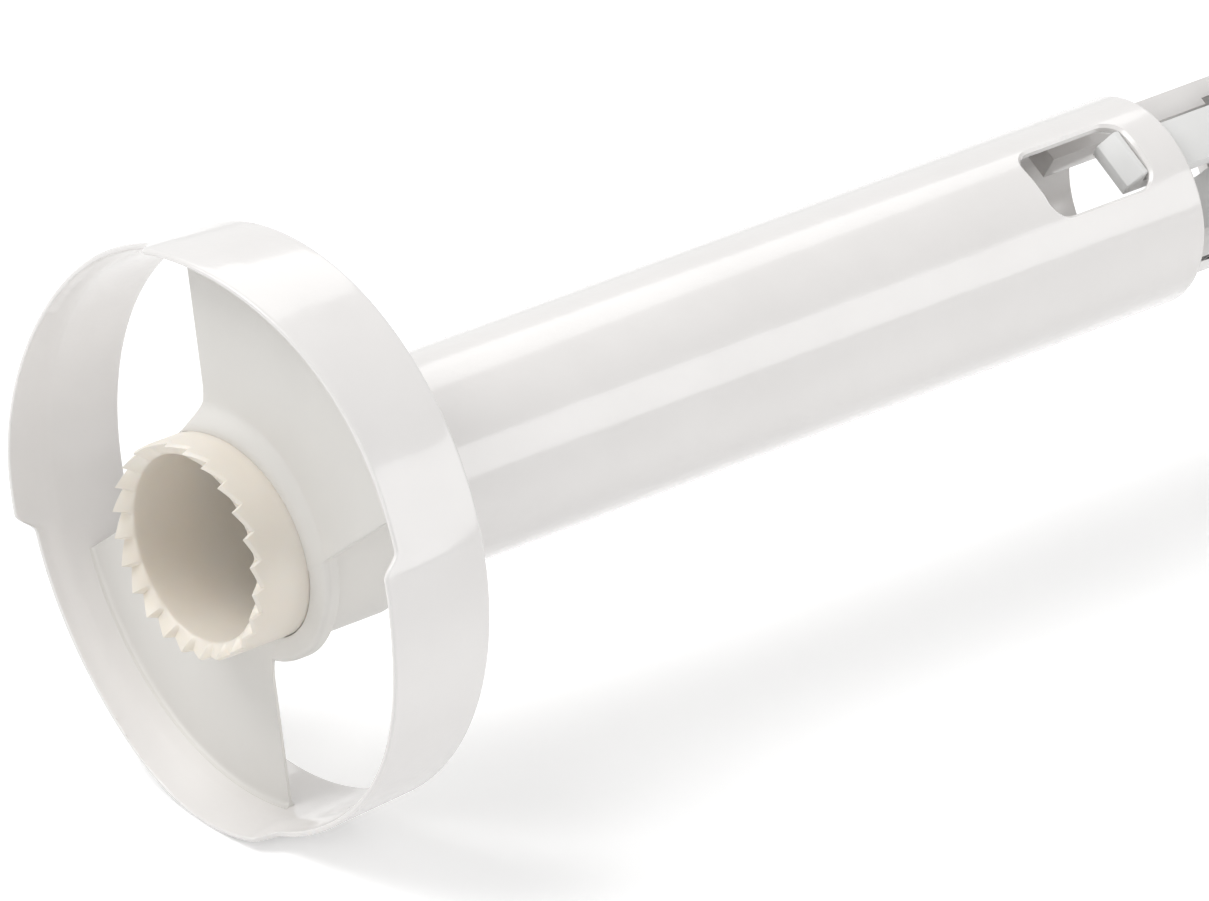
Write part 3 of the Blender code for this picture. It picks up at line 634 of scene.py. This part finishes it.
def outer_hoop():
    """The flared hoop with its rounded, four-step saw lip and a soft relief behind each step."""
    lip = HOOP_LIP_LENGTH - HOOP_LENGTH
    outline = rounded([
        (0.0, HOOP_BACK_RADIUS, HOOP_BACK_EDGE),
        (lip, HOOP_BACK_RADIUS - lip * HOOP_FLARE, 0.0),
        (-HOOP_LENGTH, HOOP_FRONT_RADIUS, HOOP_FRONT_EDGE),
        (-HOOP_LENGTH, HOOP_FRONT_RADIUS - HOOP_LIP_WALL, HOOP_LIP_EDGE),
        (lip, hoop_inner(lip), HOOP_LIP_BLEND),
        (0.0, hoop_inner(0.0), HOOP_INNER_EDGE),
    ])

    def shift(station, _, angle):
        return -hoop_saw(angle) * clamped((lip - station) / HOOP_LIP_LENGTH)

    hoop = turned(divided(outline, HOOP_CELL), even_angles(HOOP_SEGMENTS), shift)
    for vert in hoop.verts:
        radius = math.hypot(vert.co.y, vert.co.z)
        if radius > hoop_inner(vert.co.x) + HOOP_WALL / 2.0:
            valley = 1.0 - hoop_saw(math.atan2(vert.co.y, vert.co.z)) / HOOP_STEP_HEIGHT
            drawn = 1.0 - HOOP_RELIEF * valley * eased(-vert.co.x / HOOP_LENGTH) / radius
            vert.co.y *= drawn
            vert.co.z *= drawn
    return loose_object("outer_hoop", hoop)


def helix_station(angle):
    """Station of the vanes' front face, which runs back as the angle falls."""
    return VANE_LEAD_STATION + VANE_PITCH * (VANE_LEAD_ANGLE - angle) / math.tau


def lead_swing(radius):
    """How far ahead of its own radius the leading edge lies: straight, with an arc at the root."""
    far = CROWN_RADIUS + VANE_ROOT_RADIUS
    ahead = VANE_LEAD_OFFSET + VANE_ROOT_RADIUS
    if radius ** 2 >= far ** 2 - ahead ** 2 + VANE_LEAD_OFFSET ** 2:
        return math.asin(VANE_LEAD_OFFSET / radius)
    cosine = (far ** 2 + radius ** 2 - VANE_ROOT_RADIUS ** 2) / (2.0 * far * radius)
    return math.asin(ahead / far) - math.acos(min(1.0, cosine))


def fillet_rise(depth, fillet):
    """How far a fillet stands off a flat at a distance from the wall."""
    left = fillet - min(fillet, max(0.0, depth))
    return fillet - math.sqrt(fillet ** 2 - left ** 2)


def collar_front(angle):
    """Station of the collar's front edge: a ramp, a run along the rear vane, a quick return."""
    back = (VANE_LEAD_ANGLE - angle) % math.tau
    run = min(back, math.tau - COLLAR_RETURN)
    beside = helix_station(VANE_LEAD_ANGLE - max(run, math.pi)) - COLLAR_REAR_LIP
    station = min(COLLAR_START + COLLAR_PITCH * run / math.tau, beside)
    left = min(1.0, (math.tau - back) / COLLAR_RETURN)
    return COLLAR_START + (station - COLLAR_START) * eased(left)


def vane_point(across, angle, root_lip):
    """Radius and front and back stations of a vane; across runs from 0, the crown, to 1."""
    face = helix_station(angle)
    root_start = CROWN_RADIUS + VANE_ROOT_INSET
    root_end = root_start + VANE_ROOT_WIDTH
    rim_start = hoop_inner(face) - VANE_RIM_FILLET
    if across < VANE_ROOT_SHARE:
        radius = (CROWN_RADIUS + VANE_ROOT_SEAM
                  + (root_end - CROWN_RADIUS) * across / VANE_ROOT_SHARE)
        rise = root_lip * (1.0 - eased((radius - root_start) / VANE_ROOT_WIDTH))
        return radius, face - rise, face + fillet_rise(radius - COLLAR_LOW_RADIUS, VANE_FILLET)
    if across <= VANE_RIM_SHARE:
        share = (across - VANE_ROOT_SHARE) / (VANE_RIM_SHARE - VANE_ROOT_SHARE)
        return root_end + (rim_start - root_end) * share, face, face
    turn = math.pi / 2.0 * min(1.0, (across - VANE_RIM_SHARE) / (VANE_TURN_SHARE - VANE_RIM_SHARE))
    rise = VANE_RIM_FILLET * (1.0 - math.cos(turn))
    radius = hoop_inner(face) - VANE_RIM_FILLET * (1.0 - math.sin(turn))
    if across == 1.0:
        radius += VANE_RIM_SINK
    return radius, face - rise, face + rise


def helical_vane(name, half_turns):
    """One helical blade that grows out of the collar, thinned towards its leading edge."""
    turn = -math.pi * half_turns
    lead = VANE_LEAD_ANGLE + turn
    columns = [*spaced(0.0, VANE_ROOT_SHARE, VANE_ROOT_COLUMNS),
               *spaced(VANE_ROOT_SHARE, VANE_RIM_SHARE, VANE_SPAN_COLUMNS),
               *spaced(VANE_RIM_SHARE, VANE_TURN_SHARE, VANE_RIM_COLUMNS), VANE_TURN_SHARE, 1.0]
    shares = [*VANE_EDGE_ROWS, *spaced(VANE_EDGE_SHARE, 1.0, VANE_ROWS), 1.0]
    rows = []
    for across in columns:
        middle = vane_point(across, lead, 0.0)[0]
        start = lead + lead_swing(middle)
        end = VANE_TRAIL_ANGLE + turn - math.asin(VANE_TRAIL_OFFSET / middle)
        front = []
        back = []
        for share in shares:
            angle = start + (end - start) * share
            lip = helix_station(angle) - collar_front(min(angle, lead)) + VANE_ROOT_SEAM
            radius, ahead, behind = vane_point(across, angle, lip)
            travel = (start - angle) * radius / VANE_BEVEL_LENGTH
            thick = min(VANE_THICKNESS, VANE_EDGE_THICKNESS
                        + (VANE_THICKNESS - VANE_EDGE_THICKNESS) * travel)
            front.append(polar(radius, angle, ahead))
            back.append(polar(radius, angle, behind + thick))
        rows.append(front + back[::-1])
    bm = skin(rows)
    bm.verts.ensure_lookup_table()
    width = len(rows[0])
    for ring in (bm.verts[:width], bm.verts[-width:]):
        band(bm, ring[:len(shares)], ring[:len(shares) - 1:-1], False)
    vane = loose_object(name, bm)
    soften(vane, VANE_SOFT_EDGE, angle=math.radians(50.0))
    return vane


def collar_face(angle, radius):
    """Station of the collar's front face: the lip at the crown sweeps out to the vanes' level."""
    back = (VANE_LEAD_ANGLE - angle) % math.tau
    out = eased((radius - CROWN_RADIUS - VANE_ROOT_INSET) / VANE_ROOT_WIDTH)
    left = eased((math.tau - back) / COLLAR_RETURN)
    first = helix_station(VANE_LEAD_ANGLE)
    level = first + (helix_station(VANE_LEAD_ANGLE - back) - first) * left
    lip = collar_front(angle)
    return lip + max(0.0, level - lip) * out


def collar_reach(angle):
    """The collar's radius: the ledge grows behind the first vane and sinks behind the second."""
    back = (VANE_LEAD_ANGLE - angle) % math.tau
    grown = eased((back - COLLAR_RISE_ANGLE) / COLLAR_RISE_SPAN)
    grown -= eased((back - COLLAR_SINK_ANGLE) / COLLAR_RETURN)
    return COLLAR_LOW_RADIUS + (COLLAR_RADIUS - COLLAR_LOW_RADIUS) * grown


def hub_sleeve():
    """The collar round the crown, with a ledge whose face runs on from vane to vane."""
    under = COLLAR_START + COLLAR_LEDGE
    fade = under + COLLAR_LEDGE_FILLET + MERGE
    bore = CROWN_RADIUS + COLLAR_CLEARANCE
    outline = rounded([
        (COLLAR_BACK, COLLAR_LOW_RADIUS, COLLAR_BACK_EDGE),
        (under, COLLAR_LOW_RADIUS, COLLAR_LEDGE_FILLET),
        (under, COLLAR_RADIUS, COLLAR_ROUND / 3.0),
        (COLLAR_START, COLLAR_RADIUS, COLLAR_ROUND),
        (COLLAR_START, bore, COLLAR_BORE_EDGE),
        (COLLAR_BACK, bore, 0.0),
    ], FINE_ARC_STEPS)
    bm = turned(divided(outline, COLLAR_CELL), even_angles(COLLAR_SEGMENTS))
    for vert in bm.verts:
        radius = math.hypot(vert.co.y, vert.co.z)
        angle = math.atan2(vert.co.y, vert.co.z)
        share = 1.0 if vert.co.x < fade else (COLLAR_BACK - vert.co.x) / (COLLAR_BACK - fade)
        vert.co.x += (collar_face(angle, radius) - COLLAR_START) * max(0.0, share)
        drawn = min(radius, collar_reach(angle)) / radius
        vert.co.y *= drawn
        vert.co.z *= drawn
    return loose_object("hub_sleeve", bm)


def crown_saw(angle):
    """How far a tooth stands behind its tip: a steep drop, then a long ramp back up."""
    share = ((angle - CROWN_TURN) * CROWN_TEETH / math.tau) % 1.0
    if share < CROWN_DROP_SHARE:
        return CROWN_TOOTH_HEIGHT * share / CROWN_DROP_SHARE
    return CROWN_TOOTH_HEIGHT * (1.0 - share) / (1.0 - CROWN_DROP_SHARE)


def toothed_crown():
    """The ivory nose with its ring of saw teeth."""
    outline = rounded([
        (SPIGOT_LENGTH, CROWN_INNER + SPIGOT_WALL, 0.0),
        (0.0, CROWN_INNER + SPIGOT_WALL, 0.0),
        (0.0, CROWN_RADIUS, 0.0),
        (CROWN_TIP + CROWN_TAPER, CROWN_RADIUS, CROWN_TAPER_ROUND),
        (CROWN_TIP, CROWN_RADIUS - CROWN_TIP_EDGE, 0.0),
        (CROWN_TIP + CROWN_BEVEL, CROWN_INNER, CROWN_BEVEL_ROUND),
        (SPIGOT_LENGTH, CROWN_INNER, 0.0),
    ], CROWN_ARC_STEPS)
    pitch = math.tau / CROWN_TEETH
    angles = [CROWN_TURN + pitch * (tooth + share)
              for tooth in range(CROWN_TEETH) for share in CROWN_ROWS]

    def shift(station, radius, angle):
        along = eased((station - CROWN_TIP - CROWN_BEVEL) / (CROWN_TOOTH_HEIGHT + CROWN_BEVEL))
        deep = clamped((radius - CROWN_INNER) / CROWN_TOOTH_DEPTH)
        return crown_saw(angle) * (1.0 - along) * deep

    return loose_object("toothed_crown", turned(divided(outline, CROWN_CELL), angles, shift))


# The core tube

def window_form():
    """A form through one window, chamfered where it leaves the tube's two faces."""
    middle = (WINDOW_NEAR + WINDOW_FAR) / 2.0
    half_long = (WINDOW_FAR - WINDOW_NEAR) / 2.0
    half_wide = WINDOW_WIDTH / 2.0
    cut = WINDOW_CHAMFER
    levels = [(TUBE_INNER - WINDOW_MARGIN, cut)]
    levels += [(TUBE_INNER + cut * math.sin(angle), cut * (1.0 - math.sin(angle)))
               for angle in quarter_turn(WINDOW_CHAMFER_STEPS)]
    levels += [(TUBE_RADIUS - cut * math.cos(angle), cut * (1.0 - math.cos(angle)))
               for angle in quarter_turn(WINDOW_CHAMFER_STEPS)]
    levels.append((TUBE_RADIUS + WINDOW_MARGIN, cut))
    rows = []
    for radius, flare in levels:
        outline = rounded_box(half_long + flare, half_wide + flare, WINDOW_CORNER + flare,
                              FINE_ARC_STEPS)
        rows.append([Vector((middle + x, y, math.sqrt(radius ** 2 - y ** 2)))
                     for x, y in divided(outline, WINDOW_CELL)])
    deep = [Vector((point.x, point.y, TUBE_INNER / 2.0)) for point in rows[0]]
    high = [Vector((point.x, point.y, TUBE_RADIUS + OVERRUN)) for point in rows[-1]]
    return skin_closed([deep, *rows, high])


def long_tube():
    """The core tube with its two oval latch windows."""
    counterbore = CROWN_INNER + SPIGOT_WALL + GAP
    outline = rounded([
        (TUBE_END, TUBE_RADIUS, TUBE_OUTER_EDGE),
        (TUBE_START, TUBE_RADIUS, 0.0),
        (TUBE_START, counterbore, 0.0),
        (SPIGOT_LENGTH + GAP, counterbore, 0.0),
        (SPIGOT_LENGTH + GAP, TUBE_INNER, 0.0),
        (TUBE_END, TUBE_INNER, TUBE_INNER_EDGE),
    ])
    tube = loose_object("long_tube", turned(outline, even_angles(TUBE_SEGMENTS)))
    tube.data.transform(Matrix.Rotation(-HANDLE_ROLL, 4, "X"))
    for side in (0.0, math.pi):
        carve(tube, rolled(window_form(), side))
    return tube


# The handle

def fork_neck():
    """The barrel with its drive tongues, shoulders, plate and button slots."""
    neck = loose_object("fork_neck", rod(NECK_RADIUS, NECK_FRONT, NECK_BARREL_END, NECK_SEGMENTS))
    plate = rounded_box(NECK_PLATE_HALF_WIDTH, NECK_PLATE_HALF_LENGTH, NECK_PLATE_CORNER)
    carve(neck, skin_closed([[Vector((station, y, z)) for y, z in plate]
                             for station in (NECK_BACK - NECK_PLATE_THICKNESS, NECK_BACK)]),
          "UNION")
    half = TONGUE_WIDTH / 2.0
    seat = TUBE_END + GAP
    for side in (-1.0, 1.0):
        for low, high in (
            ((TONGUE_FRONT, -half, TONGUE_INNER), (TONGUE_BACK, half, TONGUE_OUTER)),
            ((seat, -half, TONGUE_INNER + GAP), (seat + SHOULDER_LENGTH, half, SHOULDER_RADIUS)),
        ):
            carve(neck, rolled(block(low, high), side * math.pi / 2.0), "UNION")
    carve(neck, rod(NECK_RADIUS - NECK_WALL, NECK_FRONT - OVERRUN, NECK_BACK + OVERRUN,
                    NECK_SEGMENTS))
    slot = rounded_box(BUTTON_LENGTH / 2.0 + GAP, BUTTON_WIDTH / 2.0 + GAP, BUTTON_CORNER)
    reach = NECK_RADIUS + OVERRUN
    carve(neck, skin_closed([[Vector((BUTTON_STATION + x, y, z)) for x, y in slot]
                             for z in (-reach, reach)]))
    soften(neck, NECK_SOFT_EDGE, 3, math.radians(40.0))
    return neck


def grip_ring(station, inset):
    """The grip's end view at a station, drawn in by an inset."""
    outline = rounded_box(GRIP_HALF_WIDTH - inset, GRIP_HALF_LENGTH - inset,
                          GRIP_CORNER - inset, GRIP_CORNER_STEPS)
    return [Vector((station, y, z)) for y, z in outline]


def grip_half(name, front):
    """A hollow half of the grip with softly rounded edges and a shadow line at the split."""
    face = GRIP_FRONT if front else GRIP_BACK
    inward = 1.0 if front else -1.0
    split = GRIP_SPLIT - inward * GAP / 2.0
    curve = quarter_turn(GRIP_EDGE_STEPS)
    shell_levels = [(split, GRIP_SPLIT_CHAMFER), (split - inward * GRIP_SPLIT_CHAMFER, 0.0)]
    shell_levels += [(face + inward * GRIP_EDGE * (1.0 - math.sin(angle)),
                      GRIP_EDGE * (1.0 - math.cos(angle))) for angle in curve]
    inner_edge = GRIP_EDGE - GRIP_WALL
    lining_levels = [(face + inward * (GRIP_WALL + inner_edge * (1.0 - math.sin(angle))),
                      GRIP_WALL + inner_edge * (1.0 - math.cos(angle)))
                     for angle in reversed(curve)]
    lining_levels.append((split, GRIP_WALL))
    bm = bmesh.new()
    outer, inner = [[[bm.verts.new(point) for point in grip_ring(*level)] for level in levels]
                    for levels in (shell_levels, lining_levels)]
    for rings in (outer, inner, (inner[-1], outer[0])):
        for first, second in zip(rings, rings[1:]):
            band(bm, first, second, True)
    bm.faces.new(outer[-1])
    bm.faces.new(inner[0])
    shell = loose_object(name, bm)
    spots = [side * spot for side in (1.0, -1.0) for spot in SCREW_PLACES]
    deep = face + inward * GRIP_WALL / 2.0
    for spot in spots:
        carve(shell, rod(BOSS_RADIUS, min(split, deep), max(split, deep), SCREW_SEGMENTS, spot),
              "UNION")
    hole = SCREW_RADIUS + GAP
    seat = GRIP_FRONT + SCREW_RECESS + SCREW_HEAD_HEIGHT
    start = GRIP_FRONT - OVERRUN
    for spot in spots:
        if front:
            carve(shell, rod(SCREW_HEAD_RADIUS + GAP, start, seat + GAP, SCREW_SEGMENTS, spot))
            carve(shell, rod(hole, start, split + OVERRUN, HOLE_SEGMENTS, spot))
        else:
            carve(shell, rod(hole, split - OVERRUN, GRIP_SPLIT + SCREW_BITE + GAP,
                             HOLE_SEGMENTS, spot))
    if front:
        carve(shell, rod(NECK_RADIUS + GAP, start, NECK_BARREL_END + GAP, NECK_SEGMENTS))
    soften(shell, GRIP_SOFT_EDGE)
    return shell


def slotted_screw(name, spot):
    """A pan-head screw with a slot, in its recess."""
    top = GRIP_FRONT + SCREW_RECESS
    seat = top + SCREW_HEAD_HEIGHT
    tip = GRIP_SPLIT + SCREW_BITE
    point = 0.00002
    line = rounded([
        (tip, point, 0.0), (tip, SCREW_RADIUS / 2.0, 0.0), (tip - SCREW_TAPER, SCREW_RADIUS, 0.0),
        (seat, SCREW_RADIUS, 0.0), (seat, SCREW_HEAD_RADIUS, SCREW_HEAD_EDGE),
        (top, SCREW_HEAD_RADIUS, SCREW_HEAD_ROUND), (top, point, 0.0),
    ])
    screw = loose_object(name, skin_closed([[polar(radius, angle, station)
                                             for angle in even_angles(SCREW_SEGMENTS)]
                                            for station, radius in line]))
    carve(screw, block((top - OVERRUN, -OVERRUN, -SCREW_SLOT_HALF_WIDTH),
                       (top + SCREW_SLOT_DEPTH, OVERRUN, SCREW_SLOT_HALF_WIDTH)))
    screw.data.transform(Matrix.Translation((0.0, 0.0, spot)))
    return screw


def latch_strip(name):
    """A springy arm with softened bends and a hook at its end."""
    outline = divided(rounded([
        (ARM_BACK, ARM_INNER, 0.0),
        (ARM_BACK, ARM_OUTER, 0.0),
        (ARM_JOG_BACK, ARM_OUTER, ARM_BACK_BEND),
        (ARM_JOG_FRONT, ARM_LIFT, ARM_FRONT_BEND),
        (HOOK_BACK, ARM_LIFT, HOOK_ROOT_EDGE),
        (HOOK_BACK, HOOK_TOP, HOOK_EDGE),
        (HOOK_FRONT + HOOK_RAMP, HOOK_TOP, HOOK_RAMP_EDGE),
        (HOOK_FRONT, ARM_LIFT, HOOK_EDGE),
        (HOOK_FRONT, ARM_LIFT - ARM_THICKNESS, HOOK_EDGE),
        (ARM_JOG_FRONT, ARM_LIFT - ARM_THICKNESS, ARM_FRONT_BEND),
        (ARM_JOG_BACK, ARM_INNER, ARM_BACK_BEND),
    ]), ARM_CELL)
    arm = loose_object(name, prism(outline, -ARM_HALF_WIDTH, ARM_HALF_WIDTH))
    soften(arm, ARM_SOFT_EDGE)
    return arm


def button_cap(name):
    """A push button with a crowned top and finger ridges."""
    half_long = BUTTON_LENGTH / 2.0
    half_wide = BUTTON_WIDTH / 2.0
    base = divided(rounded_box(half_long, half_wide, BUTTON_CORNER), BUTTON_CELL)

    def top(x, y):
        fade = eased(RIDGE_END - RIDGE_FADE * abs(x) / half_long)
        ridge = RIDGE_HEIGHT * math.cos(math.tau * x / RIDGE_PITCH) * fade
        return BUTTON_TOP - BUTTON_LOWERED - BUTTON_CROWN * (y / half_wide) ** 2 + ridge

    rows = [[Vector((x, y, BUTTON_FOOT)) for x, y in base]]
    for angle in quarter_turn(BUTTON_EDGE_STEPS):
        drawn = 1.0 - BUTTON_EDGE * (1.0 - math.cos(angle)) / half_wide
        rows.append([Vector((x * drawn, y * drawn,
                             top(x, y) - BUTTON_EDGE * (1.0 - math.sin(angle))))
                     for x, y in base])
    for share in BUTTON_RINGS:
        drawn = share * (1.0 - BUTTON_EDGE / half_wide)
        rows.append([Vector((x * drawn, y * drawn, top(x * share, y * share))) for x, y in base])
    button = loose_object(name, skin_closed(rows))
    reach = half_long + FLANGE_REACH
    side = half_wide - BUTTON_CORNER
    carve(button, block((-reach, -side, BUTTON_FOOT), (reach, side, FLANGE_TOP)), "UNION")
    button.data.transform(Matrix.Translation((BUTTON_STATION, 0.0, 0.0)))
    return button


# The pieces, their bodies and the nodes that they stand for

for item, finish, slot, node in (
    (outer_hoop(), WHITE, "white_plastic", "cutting_ring"),
    # The vanes and the collar take the darker copy of the white plastic, with their shade painted
    # into its colour.
    (helical_vane("vane_front", 0), WHITE_WITH_PAINTED_SHADE, "vane_plastic", "slicing_blade_front"),
    (helical_vane("vane_rear", 1), WHITE_WITH_PAINTED_SHADE, "vane_plastic", "slicing_blade_rear"),
    (hub_sleeve(), WHITE_WITH_PAINTED_SHADE, "vane_plastic", "hub_collar"),
    (toothed_crown(), IVORY, "ivory_plastic", "saw_crown"),
):
    place(item, TOOL_FRAME, finish)
    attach(item, "cutter")
    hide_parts(node)

tube = place(long_tube(), HANDLE_FRAME, WHITE)
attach(tube, "cutter")
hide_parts("core_tube")

for item, node in (
    (fork_neck(), "handle_neck"),
    (grip_half("grip_front", True), "grip_front_shell"),
    (grip_half("grip_back", False), "grip_back_shell"),
):
    place(item, HANDLE_FRAME, WHITE)
    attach(item, "handle")
    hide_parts(node)

for number, spot in enumerate([side * spot for side in (1, -1) for spot in SCREW_PLACES], start=1):
    screw = place(slotted_screw(f"screw_{number}", spot), HANDLE_FRAME, STEEL)
    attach(screw, "handle")
    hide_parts(f"grip_screw_{number}")

for word, where in (("upper", HANDLE_FRAME), ("lower", LOWER_FRAME)):
    arm = place(latch_strip(f"latch_strip_{word}"), where, LATCH)
    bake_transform(arm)
    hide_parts(f"latch_arm_{word}")
    cap = place(button_cap(f"button_cap_{word}"), where, GREY)
    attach(cap, f"button_{word}")
    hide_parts(f"release_button_{word}")

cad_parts["latch_carrier"].data.materials.clear()
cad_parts["latch_carrier"].data.materials.append(LATCH)


# The studio

def seen(finish):
    """1 where a surface is looked at, straight, mirrored or through something clear."""
    rays = [finish.node("ShaderNodeLightPath", output=f"Is {kind} Ray")
            for kind in ("Camera", "Glossy", "Transmission")]
    return rays[0] + rays[1] + rays[2]


def pale_floor():
    """A white sweep that keeps the tool's shadow."""
    bm = bmesh.new()
    bmesh.ops.create_grid(bm, x_segments=1, y_segments=1, size=FLOOR_SIZE)
    floor = loose_object("studio_floor", bm)
    material, finish, inputs = new_finish("studio_paper")
    inputs["Roughness"].default_value = FLOOR_ROUGHNESS
    inputs["Specular IOR Level"].default_value = FLOOR_SHINE
    inputs["Base Color"].default_value = grey(FLOOR_GREY)
    inputs["Emission Strength"].default_value = 1.0
    finish.feed(inputs["Emission Color"],
                finish.blend(seen(finish), grey(0.0), grey(FLOOR_GLOW)))
    floor.data.materials.append(material)


def studio_air():
    """An even pale surround, plain white where it is seen or mirrored."""
    world = bpy.data.worlds.new("studio_air")
    bpy.context.scene.world = world
    world.use_nodes = True
    finish = Finish(world.node_tree)
    inputs = world.node_tree.nodes["Background"].inputs
    inputs["Strength"].default_value = 1.0
    finish.feed(inputs["Color"], finish.blend(seen(finish), grey(AIR_STRENGTH), grey(1.0)))


def softbox(name, position, size, power):
    """A rectangular soft light that looks at the tool."""
    data = bpy.data.lights.new(name, "AREA")
    data.shape = "RECTANGLE"
    data.size, data.size_y = size
    data.energy = power
    lamp = bpy.data.objects.new(name, data)
    bpy.context.scene.collection.objects.link(lamp)
    lamp.location = position
    aim = Vector(LIGHT_TARGET) - Vector(position)
    lamp.rotation_euler = aim.to_track_quat("-Z", "Y").to_euler()


def photo_camera():
    """The camera, as fitted to the hoop, the tube and the windows."""
    data = bpy.data.cameras.new("photo_camera")
    data.sensor_width = 36.0
    data.lens = 476.5
    data.clip_end = 50.0
    camera = bpy.data.objects.new("photo_camera", data)
    bpy.context.scene.collection.objects.link(camera)
    position = Vector((-1.4313, -1.6591, 1.1223))
    right = Vector((0.76817, -0.64024, 0.0))
    up = Vector((0.28746, 0.34490, 0.89354))
    back = Vector((-0.57208, -0.68639, 0.44899))
    turn = Matrix((right, up, back)).transposed().to_4x4()
    camera.matrix_world = Matrix.Translation(position) @ turn
    bpy.context.scene.camera = camera


pale_floor()
studio_air()
softbox("key_box", (-0.55, 0.35, 0.95), (0.7, 0.7), 6.6)
softbox("front_box", (-1.0, -0.75, 0.55), (0.6, 0.6), 2.2)
softbox("side_box", (0.62, -0.90, 0.36), (0.9, 0.58), 3.6)
softbox("back_box", (0.44, 0.55, 0.82), (0.6, 0.6), 1.6)
photo_camera()

scene = bpy.context.scene
scene.view_settings.view_transform = "Standard"
